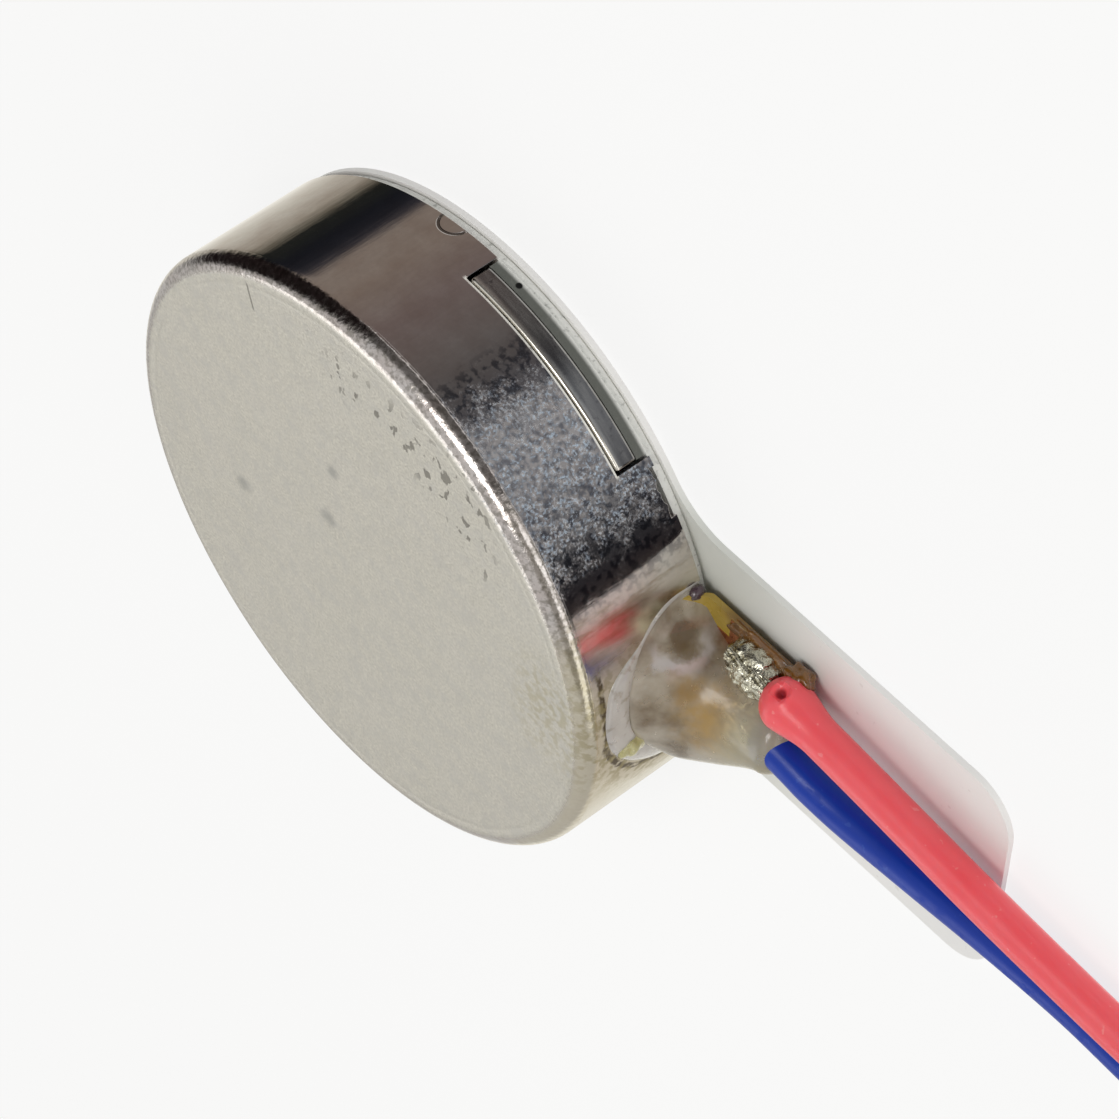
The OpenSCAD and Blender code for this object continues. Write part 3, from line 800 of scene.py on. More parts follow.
def ear_marks(f, colour):
    """The colour with the scribed oval and the painted highlight on the cut edges, and both masks."""
    across = f.math("DIVIDE", f.math("SUBTRACT", f.turn, 98.7), 3.1)
    up = f.math("DIVIDE", f.math("SUBTRACT", f.z, can_foot), 0.26)
    scribed = f.times(f.zone(f.length(across, up), 0.82, 1.05, 0.06), f.ramp(f.mottle(9.0), 0.35, 0.5))
    off_front = f.math("ABSOLUTE", f.turn)
    over_ear = f.highest(f.zone(off_front, 46.6, 89.0, 0.8), f.ramp(off_front, 158.8, 159.6))
    at_edge = f.zone(f.z, SLOT_TOP - 0.03, SLOT_TOP + 0.04, 0.015)
    # Painted highlight: a pale line along the can's cut edge over each ear.
    painted_edge_highlight = f.times(at_edge, over_ear, f.ramp(f.mottle(6.0), 0.3, 0.45))
    colour = f.tinted(colour, (60, 58, 58), scribed, 0.7)
    return f.tinted(colour, (250, 248, 240), painted_edge_highlight), scribed, painted_edge_highlight


print("stains and marks ready")

# %% [markdown]
# Colour alone would make a flat metal, because what shows in it is the room round it. Roughness
# says how sharp that mirror image is, and a tiny relief breaks it up. The flecks with their painted
# glints and the painted highlight on the cut edges are also a little less metallic, so that they
# stay pale from every side.


# %% Nickel finish
def can_roughness(f, grain, frost):
    """Polished side, duller by the arch and on the frost, then the satin face and the rim."""
    by_arch = f.times(f.ramp(f.turn, 34.0, 28.0), f.front)
    by_resin = f.times(f.ramp(f.from_arch, 1.0, 0.5), f.ramp(f.y, 2.0, 1.4), 0.25)
    wall = f.math("ADD", f.ramp(f.mottle(6.0), 0.3, 0.7, 0.05, 0.09), f.times(frost, 0.22))
    wall = f.math("ADD", wall, f.times(by_arch, f.math("ADD", by_resin, 0.12)))
    rough = f.blend(f.face, wall, f.roughness(grain, 0.36, 0.46))
    return f.blend(f.rim, rough, f.ramp(f.mottle(12.0), 0.35, 0.65, 0.10, 0.24))


def can_relief(f, grain, streaks, flecks, dents):
    """Grain on the face and drawn marks on the side, grit on the rim, flecks up and dents in."""
    height = f.blend(f.face, f.math("MULTIPLY", streaks, 0.22), grain)
    height = f.math("ADD", height, f.times(f.mottle(10.0, 1.6), f.rim, 1.5))
    height = f.math("ADD", height, f.times(flecks, 1.2))
    return f.math("SUBTRACT", height, f.times(dents, 2.0))


def nickel():
    """The can's whole finish: its colour, its roughness, its relief and how metallic it is."""
    f = CanFinish()
    streaks = f.mottle(13.0, 1.5, f.stretched(1.0, 1.0, 0.14))
    grain = f.mottle(24.0, 1.5)
    frost, fleck_and_glint, dark = frosted_patch(f)
    pits, smudges, scratch = face_wear(f)
    wall = side_colour(f, streaks, frost, fleck_and_glint, dark)
    colour = f.mix(f.face, wall, face_colour(f, grain, pits, smudges, scratch))
    colour = flux_stains(f, edge_tints(f, colour))
    colour, scribed, painted_edge_highlight = ear_marks(f, colour)
    # Less metallic where the painted glints of the flecks and the painted edge highlight lie, so that they
    # stay pale.
    matt = f.highest(f.times(frost, fleck_and_glint, 0.6), f.times(painted_edge_highlight, 0.7))
    height = can_relief(f, grain, streaks, f.times(fleck_and_glint, frost), f.highest(pits, scribed))
    metallic = f.math("SUBTRACT", 1.0, matt)
    return f.done(colour, can_roughness(f, grain, frost), f.bump(height, 0.5, 0.006), Metallic=metallic)


belongs(can, "stator", "nickel_case", nickel(), "case")

# %% [markdown]
# ## The bracket
# A flat steel plate closes the can from below. Three ears on its edge key into the can's slots,
# so their bright, bevelled outer faces show from the side, and a collar holds the shaft. It is
# turned like a washer, but its outer radius steps out at each ear and is cut straight at the
# front, where the circuit's tail passes.

# %% Bracket shape
EAR_HALF = 20.0
FRONT_FLAT = 4.45
COLLAR_R, COLLAR_TOP, SHAFT_R = 0.75, bracket_high[2], 0.4


def near_ear(angles):
    """True where an angle falls on one of the three ears."""
    return np.any([np.abs((angles - m + 180) % 360 - 180) < EAR_HALF for m in SLOT_MIDS], axis=0)


def cut_front(radii, angles):
    """Radii limited by the straight cut across the front."""
    ahead = np.cos(np.radians(angles))
    return np.where(ahead > 0.5, np.minimum(radii, FRONT_FLAT / np.maximum(ahead, 0.5)), radii)


ear_sides = [m + s * EAR_HALF + e for m in SLOT_MIDS for s in (-1, 1) for e in (-0.02, 0.02)]
ear_stops = np.unique((np.array(ear_sides) + 180) % 360 - 180)
plate_angles = filled(np.concatenate([[-180], ear_stops, [180]]), 1.0)[:-1]
plate_r = cut_front(np.where(near_ear(plate_angles), can_r, can_r - can_wall - 0.02), plate_angles)
ones = np.ones_like(plate_angles)
plate_radii = np.stack([SHAFT_R * ones, plate_r, plate_r, COLLAR_R * ones, COLLAR_R * ones, SHAFT_R * ones])
plate_top = film_top - film_thick
plate_heights = [bracket_foot, bracket_foot, plate_top, plate_top, COLLAR_TOP, COLLAR_TOP]
bracket = add_mesh("bracket", *lathe(plate_radii, plate_heights, plate_angles))
soften(bracket, 0.05, 4)


# %% [markdown]
# The plate is bare steel with streaks round its edge and a few dark stains. A painted highlight
# lies on the upper bevel of each ear, as a tint by height.


# %% Bracket finish
def bracket_steel():
    """Streaked bare steel with a few stains, and a painted highlight on the ears' upper bevel."""
    f = Finish("bracket_steel", Metallic=1.0)
    streaks = f.mottle(10.0, 1.2, f.stretched(0.15, 0.15, 1.0))
    colour = f.between(streaks, (134, 131, 130), (178, 176, 174))
    colour = f.tinted(colour, (84, 82, 86), f.ramp(f.mottle(9.0, 1.6), 0.6, 0.9), 0.6)
    # Painted highlight: a pale band along the upper bevel of each ear.
    colour = f.tinted(colour, (244, 240, 232), f.ramp(f.z, SLOT_TOP - 0.16, SLOT_TOP - 0.06))
    return f.done(colour, f.roughness(streaks, 0.14, 0.26), f.bump(streaks, 0.4, 0.006))


belongs(bracket, "stator", "bracket_steel", bracket_steel(), "bracket_plate")

# %% [markdown]
# ## Pad and liner
# The adhesive pad is a thin disc of closed-cell foam. It is pressed a little way up inside the
# can's edge and fills the space under each ear. The liner is silicone-coated paper with a pull
# tab under the leads. Both are slightly off centre, as they are stuck on by hand.

# %% Pad shape
PAD_R, STUCK_Y = 4.85, 0.1
pad_angles = plate_angles
turn = np.radians(pad_angles)
pad_r = STUCK_Y * np.sin(turn) + np.sqrt(PAD_R**2 - (STUCK_Y * np.cos(turn)) ** 2)
plug_r = cut_front(np.where(near_ear(pad_angles), can_r - 0.02, can_r - can_wall - 0.04), pad_angles)
pad_radii = np.stack([0 * ones, pad_r - 0.03, pad_r, pad_r, plug_r, plug_r, 0 * ones])
pad_heights = [pad_low[2], pad_low[2], pad_low[2] + 0.03, can_foot, can_foot, pad_high[2], pad_high[2]]
pad = add_mesh("foam_pad", *lathe(pad_radii, pad_heights, pad_angles))

# %% [markdown]
# The liner's outline is a disc that runs into a tab through two fillets. One formula for the edge
# at each x gives both sides, and lines drawn across from side to side fill the paper.

# %% Liner shape
LINER_R, NECK_R, TAB_CORNER = 4.9, 1.4, 0.8
TAB_LOW, TAB_HIGH, TAB_END = -1.28, 2.78, liner_high[0]


def liner_edge(x, tab):
    """Sideways place of the liner's edge on one side: the disc's circle, a fillet of NECK_R where it
    meets the tab, the tab's straight side, and a rounded corner. tab is that side's place."""
    s = np.sign(tab)
    out = s * (tab - STUCK_Y)
    neck_x = math.sqrt((LINER_R + NECK_R) ** 2 - (out + NECK_R) ** 2)
    meet_x = neck_x * LINER_R / (LINER_R + NECK_R)
    disc = np.sqrt(np.clip(LINER_R**2 - x**2, 0, None))
    neck = out + NECK_R - np.sqrt(np.clip(NECK_R**2 - np.minimum(x - neck_x, 0) ** 2, 0, None))
    corner_x = np.clip(x - (TAB_END - TAB_CORNER), 0, TAB_CORNER)
    corner = out - TAB_CORNER + np.sqrt(TAB_CORNER**2 - corner_x**2)
    reach = np.where(x < meet_x, disc, np.where(x < TAB_END - TAB_CORNER, neck, corner))
    return STUCK_Y + s * reach


disc_x = -LINER_R * np.cos(np.linspace(0, np.pi / 2, 60))
tab_x = TAB_END - TAB_CORNER * (1 - np.sin(np.linspace(0, np.pi / 2, 12)))
liner_x = np.concatenate([disc_x, filled([0, tab_x[0]], 0.12)[1:-1], tab_x])
share = np.linspace(0, 1, 25)[None, :]
edge_low, edge_high = liner_edge(liner_x, TAB_LOW)[:, None], liner_edge(liner_x, TAB_HIGH)[:, None]
liner_y = edge_low + (edge_high - edge_low) * share
flat = np.stack([np.repeat(liner_x[:, None], 25, axis=1), liner_y, 0 * liner_y], -1).reshape(-1, 3)
quads = grid_quads(len(liner_x), 25)
liner = add_mesh("paper_liner", *walled(flat + [0, 0, liner_high[2]], flat + [0, 0, liner_low[2]], quads))
soften(liner, 0.02)


# %% [markdown]
# Foam shows small cells. It is painted grey as shade where it stands under the can's edge, and
# the shade inside one burst cell is painted as a dark spot. Paper has fibres along the tab and is
# painted darker where it lies in the can's shade. Both are plain non-metals, so clouds and relief
# are enough.


# %% Foam and paper finishes
def foam():
    """Closed-cell foam, painted grey as shade under the can's edge, with one dark spot painted as the shade
    in a burst cell.
    """
    f = Finish("foam_pad", Specular_IOR_Level=0.25)
    cells = f.add("TexVoronoi", {"Vector": f.place, "Scale": 9.0}, feature="F1").outputs["Distance"]
    cloud = f.mottle(5.0)
    hole = math.radians(82)
    shaded_hole_at = (can_r * math.cos(hole), can_r * math.sin(hole), can_foot + 0.08)
    colour = f.between(cloud, (216, 217, 212), (236, 236, 232))
    # Painted shade: grey over the foam where it stands above the can's foot, under the can's edge and the
    # ears.
    colour = f.tinted(colour, (98, 100, 95), f.ramp(f.z, can_foot - 0.01, can_foot + 0.08))
    # Painted shade: a near-black spot for the inside of a burst cell.
    colour = f.tinted(colour, (12, 12, 12), f.near(shaded_hole_at, 0.065, 0.3))
    colour = f.tinted(colour, (112, 112, 108), f.ramp(f.mottle(12.0, 1.6), 0.6, 0.9), 0.5)
    return f.done(colour, f.roughness(cloud, 0.7, 0.9), f.bump(cells, 0.6, 0.02))


def paper():
    """White coated paper with faint fibres, with the can's shade painted on at the neck of the tab."""
    f = Finish("liner_paper", Specular_IOR_Level=0.4)
    fibre = f.mottle(14.0, 1.0, f.stretched(0.5, 1.0, 1.0))
    colour = f.between(f.mottle(0.8), (238, 237, 235), (247, 246, 244))
    # Painted shade: greyer where the neck of the tab lies in the can's shade.
    colour = f.tinted(colour, (216, 218, 212), f.ramp(f.x, 8.2, 4.6), f.ramp(f.x, 3.2, 4.4))
    colour = f.tinted(colour, (206, 200, 196), f.specks(7.0, 0.70), 0.3)
    return f.done(colour, f.roughness(fibre, 0.42, 0.6), f.bump(fibre, 0.25, 0.01))


belongs(pad, "stator", "foam_pad", foam(), "adhesive_pad")
belongs(liner, "liner", "liner_paper", paper(), "release_liner")

# %% [markdown]
# ## Flexible circuit and copper
# The circuit is amber polyimide film: a disc on the bracket, and a tail that dips in an S bend
# under the arch and carries the two solder pads. One function gives the height of the film's
# upper face at any distance out, so the film and the copper on it bend together.

# %% Film and copper shape
TAIL_Y, TAIL_HALF, TAIL_END, TAIL_CORNER = 0.75, 1.2, film_high[0], 0.3


def film_height(x):
    """Height of the film's upper face: level inside, an S curve down to the tail, level outside."""
    return film_top - (film_top - tail_top) * smoothstep(x, 4.42, 4.85)


def ribbon(x0, x1, y0, y1, lift, thick, corner=0.0):
    """Strip of the film's line from x0 to x1: level across, thick downwards from lift above the
    film's face, its far corners rounded."""
    x = filled([x0, max(x0, x1 - corner), x1] if corner else [x0, x1], 0.06)
    inset = corner - np.sqrt(np.clip(corner**2 - np.clip(x - (x1 - corner), 0, corner) ** 2, 0, None))
    across = np.linspace(0, 1, 9)[None, :]
    y = (y0 + inset)[:, None] + ((y1 - y0) - 2 * inset)[:, None] * across
    z = np.repeat((film_height(x) + lift)[:, None], 9, axis=1)
    top = np.stack([np.repeat(x[:, None], 9, axis=1), y, z], -1).reshape(-1, 3)
    return walled(top, top - [0, 0, thick], grid_quads(len(x), 9))


disc_angles = np.linspace(-180, 180, 181)[:-1]
unit = np.ones_like(disc_angles)
disc = lathe(np.stack([0.8 * unit, 4.4 * unit, 4.4 * unit, 0.8 * unit]),
             [film_top - film_thick, film_top - film_thick, film_top, film_top], disc_angles)
tail = ribbon(4.0, TAIL_END, TAIL_Y - TAIL_HALF, TAIL_Y + TAIL_HALF, 0.0, film_thick, TAIL_CORNER)
film = add_mesh("film", *join_solids(disc, tail))
COPPER_LIFT, COPPER_THICK = 0.006, 0.03
COPPER = {
    "positive": [(-1.5, -0.7, 1.0, 1.5), (-0.7, 5.3, 1.25, 1.5), (5.3, 6.5, 1.1, 1.9)],
    "negative": [
        (0.7, 1.5, -1.5, -1.0), (1.5, 1.8, -1.5, 0.55), (1.8, 5.3, 0.3, 0.55), (5.3, 6.5, 0.05, 0.85)],
}
tracks = {side: add_mesh(side + "_track", *join_solids(
    *[ribbon(*patch, COPPER_LIFT, COPPER_THICK) for patch in patches])) for side, patches in COPPER.items()}


# %% [markdown]
# Polyimide is clear amber with a gloss, and soldering has burnt it brown towards the joints and
# along one edge. Copper is a plain metal, and so are many inner pieces, so one function makes
# every such finish from its two tints.


# %% Film and copper finishes
def polyimide():
    """Glossy amber film, burnt brown towards the joints and along its +Y edge."""
    f = Finish("polyimide", IOR=1.6, Coat_Weight=0.4, Coat_Roughness=0.1)
    cloud = f.mottle(2.5, 1.2)
    by_edge = f.ramp(f.y, TAIL_Y + TAIL_HALF - 0.3, TAIL_Y + TAIL_HALF)
    colour = f.between(cloud, (150, 122, 36), (196, 168, 66))
    colour = f.tinted(colour, (122, 78, 28), f.ramp(f.x, 5.7, 6.7))
    colour = f.tinted(colour, (104, 66, 22), by_edge, f.ramp(f.x, 4.9, 5.4), 0.8)
    return f.done(colour, f.roughness(cloud, 0.2, 0.36), f.bump(cloud, 0.3, 0.01))


def metal(name, low, high, rough, scale=6.0):
    """A plain metal finish: cloudy between two tints, with scattered tarnish and fine relief."""
    f = Finish(name, Metallic=1.0)
    cloud = f.mottle(scale, 1.1)
    colour = f.between(cloud, low, high)
    colour = f.tinted(colour, (60, 50, 40), f.specks(scale * 1.3, 0.66), 0.6)
    return f.done(colour, f.roughness(cloud, *rough), f.bump(cloud, 0.4, 0.01))


copper = metal("copper", (196, 122, 84), (226, 160, 118), (0.22, 0.38))
belongs(film, "stator", "polyimide", polyimide(), "flex_circuit")
for side, track in tracks.items():
    belongs(track, "stator", "copper", copper, "copper_track_" + side)

# %% [markdown]
# ## Solder
# Each joint is a low, lumpy bead that has run along its pad and frozen with a crumpled, bright
# skin. A dome over an oval, with its height and outline disturbed by `lumps`, gives that shape.


# %% Solder beads
def bead(centre, half, lump, pitch, seed, steps=(30, 48)):
    """Lumpy closed oval: point = centre + half axes * direction * (1 + lump * bumps), with the
    direction from a polar grid."""
    rise = np.linspace(-np.pi / 2, np.pi / 2, steps[0])
    turn = np.linspace(0, 2 * np.pi, steps[1], endpoint=False)
    rise, turn = np.meshgrid(rise, turn, indexing="ij")
    way = np.stack([np.cos(rise) * np.cos(turn), np.cos(rise) * np.sin(turn), np.sin(rise)], -1)
    oval = way * np.array(half)
    bumps = lumps(oval.reshape(-1, 3), pitch, seed).reshape(*turn.shape, 1)
    swollen = oval * (1 + lump * bumps)
    return (swollen + np.array(centre)).reshape(-1, 3), grid_quads(*steps, loop=True)


def solder_bead(name, centre, half, seed):
    """A bead cut level where it wets the pad."""
    points, faces = bead(centre, half, 0.16, 0.28, seed, (44, 72))
    points[:, 2] = np.maximum(points[:, 2], tail_top)
    return add_mesh(name, points, faces, smooth=60)


solder_pieces = {
    "solder_red": solder_bead("solder_bead_red", (5.98, 1.53, 0.42), (0.52, 0.38, 0.36), 3),
    "solder_blue": solder_bead("solder_bead_blue", (5.85, 0.45, 0.40), (0.5, 0.36, 0.36), 8),
}

# %% [markdown]
# Frozen solder is bright but crumpled: coarse folds with a fine skin on them, and dull spots
# where flux has stayed. Two bumps one after the other give both sizes of fold. The tinned strands
# share this finish.


# %% Solder finish
def solder():
    """Crumpled bright metal with dull spots."""
    f = Finish("solder", Metallic=1.0)
    crumple = f.mottle(7.0, 1.4)
    fine = f.mottle(18.0, 1.2)
    colour = f.between(crumple, (176, 171, 148), (232, 230, 216))
    colour = f.tinted(colour, (122, 112, 86), f.specks(5.0, 0.60), 0.5)
    normal = f.bump(fine, 0.5, 0.01, after=f.bump(crumple, 0.9, 0.05))
    return f.done(colour, f.ramp(fine, 0.3, 0.7, 0.12, 0.3), normal)


solder_finish = solder()
for node, piece in (solder_pieces | strand_pieces).items():
    belongs(piece, "stator", "solder", solder_finish, node)

# %% [markdown]
# ## Sealing resin
# A drop of clear resin fills the arch and runs out over the joints to the leads. Its surface
# starts on the arch's edge, falls away in a hollow curve like a fillet, and ends in a round nose
# over the blue lead. So its sections are drawn on a grid: one parameter runs round the section,
# the other from the arch outwards, and the section changes from the arch's outline to a half
# oval on the way.

# %% Resin mound
MOUND_END, MOUND_TOP = 6.6, 0.98
FOOT_LOW, FOOT_HIGH = -0.1, 1.12
FOOT_Z = tail_top - 0.03


def arch_outline(count):
    """Points (y, z) of the arch's edge from its -Y foot over the top to its +Y foot, evenly spaced."""
    turn = np.linspace(np.pi, 0, 60)
    y = np.concatenate([[ARCH_Y - ARCH_HALF], ARCH_Y + ARCH_HALF * np.cos(turn), [ARCH_Y + ARCH_HALF]])
    z = np.concatenate([[FOOT_Z], ARCH_FOOT + ARCH_HALF * np.sin(turn), [FOOT_Z]])
    s = run_length(np.stack([y, z], -1))
    even = np.linspace(0, s[-1], count)
    return np.interp(even, s, y), np.interp(even, s, z)


def wall_x(y, lift=0.0):
    """Distance out of the can's side at the sideways place y."""
    return np.sqrt((can_r + lift) ** 2 - y**2)


def mound(steps=40, count=90):
    """Resin section at v = 0 to 1 outwards: its -Y side swells past the arch and comes back, its +Y
    side and its top fall away in hollow curves, and its shape turns from the arch's outline to a
    half oval."""
    arch_y, arch_z = arch_outline(count)
    u = np.linspace(np.pi, 0, count)
    oval_y, oval_z = np.cos(u), np.sin(u) ** 0.85
    v = np.linspace(0, 1, steps)[:, None]
    hollow = 1 - (1 - v) ** 1.9
    arch_low, arch_high = ARCH_Y - ARCH_HALF, ARCH_Y + ARCH_HALF
    low = arch_low + (FOOT_LOW - arch_low) * v - 0.34 * np.sin(np.pi * v**0.6)
    high = FOOT_HIGH + (arch_high - FOOT_HIGH) * (1 - v) ** 3.2
    top = ARCH_TOP + (MOUND_TOP - ARCH_TOP) * hollow
    shape = smoothstep(v, 0.0, 0.8)
    unit_y = (1 - shape) * (arch_y - ARCH_Y) / ARCH_HALF + shape * oval_y
    unit_z = (1 - shape) * (arch_z - FOOT_Z) / (ARCH_TOP - FOOT_Z) + shape * oval_z
    y = (low + high) / 2 + (high - low) / 2 * unit_y
    z = FOOT_Z + (top - FOOT_Z) * unit_z
    x = wall_x(arch_y) * (1 - v) + MOUND_END * v
    return np.stack([x, y, z], -1)


body = mound()
swell = lumps(body.reshape(-1, 3), 1.3, 21).reshape(body.shape[:2])
off_foot = smoothstep(body[..., 2], FOOT_Z + 0.1, 0.8)
body[..., 2] += 0.05 * swell * off_foot * smoothstep(body[..., 0], 4.9, 5.4)
inside = body[:1] - np.array([[[0.35, 0, 0]]])
inside_end = np.repeat(inside.mean(1, keepdims=True), body.shape[1], axis=1)
nose_turn = np.linspace(0, np.pi / 2, 14)[1:, None, None]
nose_mid = np.array([0.0, (FOOT_LOW + FOOT_HIGH) / 2, FOOT_Z + 0.2])
nose_reach = np.array([0.3, 0, 0])
nose = nose_mid + (body[-1] - nose_mid) * np.cos(nose_turn) ** [[[0, 1, 1]]] + nose_reach * np.sin(nose_turn)
sheet = np.concatenate([inside_end, inside, body, nose])
resin_mound = add_mesh(
    "resin_mound", sheet.reshape(-1, 3), grid_quads(*sheet.shape[:2], loop=True), smooth=60)

# %% [markdown]
# Some resin has crept onto the can round the arch as a thin, glossy lap. It is narrow on the +Y
# side and widens over the top. A little yellow flux bead sits on its edge, brown flux has run
# along the tail's edge to the red lead, and a dark glossy drop sits in the arch's lower corner.
# The three drops are beads like the solder's, only smaller.


# %% Lap, flux bead and flux
def lap(count=120, across=9):
    """Thin band on the can's side along the arch: offset outwards by width * w, and standing off
    the side by a low hump over w."""
    y, z = arch_outline(count)
    slope = np.gradient(np.stack([y, z], -1), axis=0)
    normal = np.stack([-slope[:, 1], slope[:, 0]], -1) / np.linalg.norm(slope, axis=1, keepdims=True)
    t = np.linspace(0, 1, count)
    width = 0.04 + 0.36 * smoothstep(t, 0.76, 0.58) + 0.02 * np.sin(t * 17)
    w = np.linspace(0, 1, across)[None, :]
    yy = y[:, None] + normal[:, :1] * width[:, None] * w
    zz = np.maximum(z[:, None] + normal[:, 1:] * width[:, None] * w, can_foot)
    hump = 0.05 * np.sqrt(np.clip(np.sin(np.pi * (0.08 + 0.92 * w)), 0, 1))
    hump = hump * smoothstep(width, 0, 0.3)[:, None]
    top = np.stack([wall_x(yy, 0.004 + hump), yy, zz], -1).reshape(-1, 3)
    under = np.stack([wall_x(yy, -0.01), yy, zz], -1).reshape(-1, 3)
    return walled(top, under, grid_quads(count, across))


resin_lap = add_mesh("resin_lap", *lap(), smooth=60)
flux_bead = add_mesh("flux_bead", *bead((5.02, -0.04, 1.83), (0.12, 0.17, 0.26), 0.25, 0.25, 4), smooth=60)
flux_run = add_mesh("flux_run", *join_solids(
    bead((5.95, 1.8, 0.29), (0.85, 0.19, 0.07), 0.35, 0.3, 12),
    bead((6.7, 1.95, 0.32), (0.26, 0.15, 0.18), 0.35, 0.22, 17)), smooth=60)
corner_drop = add_mesh("corner_drop", *bead((4.66, 1.93, 0.38), (0.1, 0.12, 0.13), 0.2, 0.3, 25), smooth=60)


# %% [markdown]
# The resin is milky where it is thin, dark olive beside the arch inside a pale arc of painted
# reflection, and amber over the solder below it. Glass that is only half clear gives that depth.
# The lap and the drops are small glossy pieces of the same kind, each with its own tints.

# %% Resin finishes
OLIVE_AT, AMBER_AT, BROWN_AT = (4.98, 1.68, 0.85), (5.72, 0.6, 0.9), (5.3, 0.95, 1.1)


def resin():
    """Half-clear resin: cloudy, with a painted reflection as a pale arc by the arch, olive and amber in
    places, pale at its nose.
    """
    f = Finish("resin", IOR=1.5, Transmission_Weight=0.55, Coat_Weight=0.25, Coat_Roughness=0.2)
    swirl = f.mottle(1.4, 1.9)
    from_olive = f.wavering(f.away(OLIVE_AT), 2.6, 0.7)
    painted_reflection_arc = f.times(f.zone(from_olive, 0.3, 0.7, 0.18), f.ramp(f.y, 1.75, 1.3), f.ramp(f.x, 5.5, 5.1))
    colour = f.between(f.ramp(swirl, 0.2, 0.8), (146, 126, 98), (232, 222, 204))
    # Painted reflection: a pale arc of the lamp round the dark olive patch on the resin's +Y side.
    colour = f.tinted(colour, (240, 236, 240), painted_reflection_arc, 0.8)
    colour = f.tinted(colour, (108, 84, 44), f.ramp(from_olive, 0.5, 0.15), 0.9)
    colour = f.tinted(colour, (226, 186, 112), f.near(AMBER_AT, 0.8, 0.9, 0.5))
    colour = f.tinted(colour, (196, 158, 96), f.near(BROWN_AT, 0.36, 0.9, 0.2), 0.8)
    colour = f.tinted(colour, (232, 226, 196), f.ramp(f.x, 5.7, 6.3), 0.7)
    return f.done(colour, f.roughness(f.mottle(4.0, 1.0), 0.16, 0.3), f.bump(swirl, 0.3, 0.05))


def lap_resin():
    """Thin pale resin with a wet gloss and a few brown clouds."""
    f = Finish("resin_lap", IOR=1.5, Transmission_Weight=0.45, Coat_Weight=1.0, Coat_Roughness=0.05)
    cloud = f.mottle(3.0, 1.0)
    colour = f.between(cloud, (216, 210, 204), (240, 236, 232))
    colour = f.tinted(colour, (150, 136, 104), f.ramp(f.mottle(7.0, 1.5), 0.55, 0.85), 0.5)
    return f.done(colour, f.roughness(cloud, 0.12, 0.3), f.bump(cloud, 0.4, 0.02))


def flux(name, low, high, clear):
    """Glossy drop with a tint between two colours, partly clear: hardened flux, and the dark corner drop."""
    f = Finish(name, IOR=1.5, Transmission_Weight=clear, Coat_Weight=0.8, Coat_Roughness=0.08)
    cloud = f.mottle(5.0, 1.5)
    return f.done(f.between(cloud, low, high), f.roughness(cloud, 0.15, 0.35), f.bump(cloud, 0.6, 0.03))


belongs(resin_mound, "stator", "resin", resin(), "seal_resin")
belongs(resin_lap, "stator", "resin", lap_resin())
belongs(flux_bead, "stator", "resin", flux("flux_yellow", (176, 168, 96), (222, 218, 170), 0.2))
# A dark glossy drop in the arch's lower corner.
belongs(corner_drop, "stator", "resin", flux("dark_corner_drop", (52, 38, 46), (104, 80, 92), 0.3))
belongs(flux_run, "stator", "resin", flux("flux_brown", (78, 48, 12), (164, 108, 28), 0.3))

# %% [markdown]
# ## Lead insulation
# The insulation is soft PVC. It is slightly see-through, so light spreads under its skin, and its
# gloss is broken by fine lengthwise marks from the extruder.


# %% Lead finish
def insulation(name, low, high, spot, spread, gloss, pit=None):
    """Soft plastic between two tints, with faint lengthwise marks, scattered scuffs and, where
    one is given, painted shade in a pit."""
    f = Finish(name, Subsurface_Weight=spread, Subsurface_Scale=0.25 * MM, Coat_Weight=gloss,
               Coat_Roughness=0.2, Specular_IOR_Level=0.35)
    marks = f.mottle(9.0, 1.0, f.stretched(0.08, 1.0, 1.0))
    colour = f.between(f.mottle(1.2), low, high)
    colour = f.tinted(colour, spot, f.specks(6.0, 0.68), 0.35)
    if pit:
        # Painted shade: darker red inside the melted end's pit.
        colour = f.tinted(colour, (168, 44, 54), f.near(pit, 0.13, 0.6))
    rough = f.ramp(f.math("ADD", marks, f.specks(4.0, 0.60)), 0.2, 1.2, 0.28, 0.5)
    return f.done(colour, rough, f.bump(marks, 0.35, 0.01))


pit_out = np.array([0, math.cos(RED_PIT[1]), math.sin(RED_PIT[1])]) * LEAD_R
pit_place = tuple((np.array(RED_ROUTE[0]) + [RED_PIT[0], 0, 0] + pit_out).tolist())
red_finish = insulation(
    "red_insulation", (246, 82, 92), (252, 106, 114), (254, 176, 174), 0.3, 0.25, pit_place)
blue_finish = insulation("blue_insulation", (0, 46, 158), (0, 60, 176), (50, 90, 186), 0.0, 0.0)
belongs(red_lead, "stator", "red_insulation", red_finish, "lead_red")
belongs(blue_lead, "stator", "blue_insulation", blue_finish, "lead_blue")

# %% [markdown]
# ## Inside the can
# The shaft, magnet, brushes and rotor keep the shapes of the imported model, which are exact. They
# only need their own finishes, given here from one table.


# %% Inner finishes
def plastic(name, low, high, rough):
    """A plain moulded or pressed non-metal: cloudy between two tints with a fine skin."""
    f = Finish(name)
    cloud = f.mottle(6.0, 1.1)
    return f.done(f.between(cloud, low, high), f.roughness(cloud, *rough), f.bump(f.mottle(24.0), 0.4, 0.01))


COIL_ORBIT, COIL_ANGLE, WIRE_PITCH = 2.85, 50, 0.08


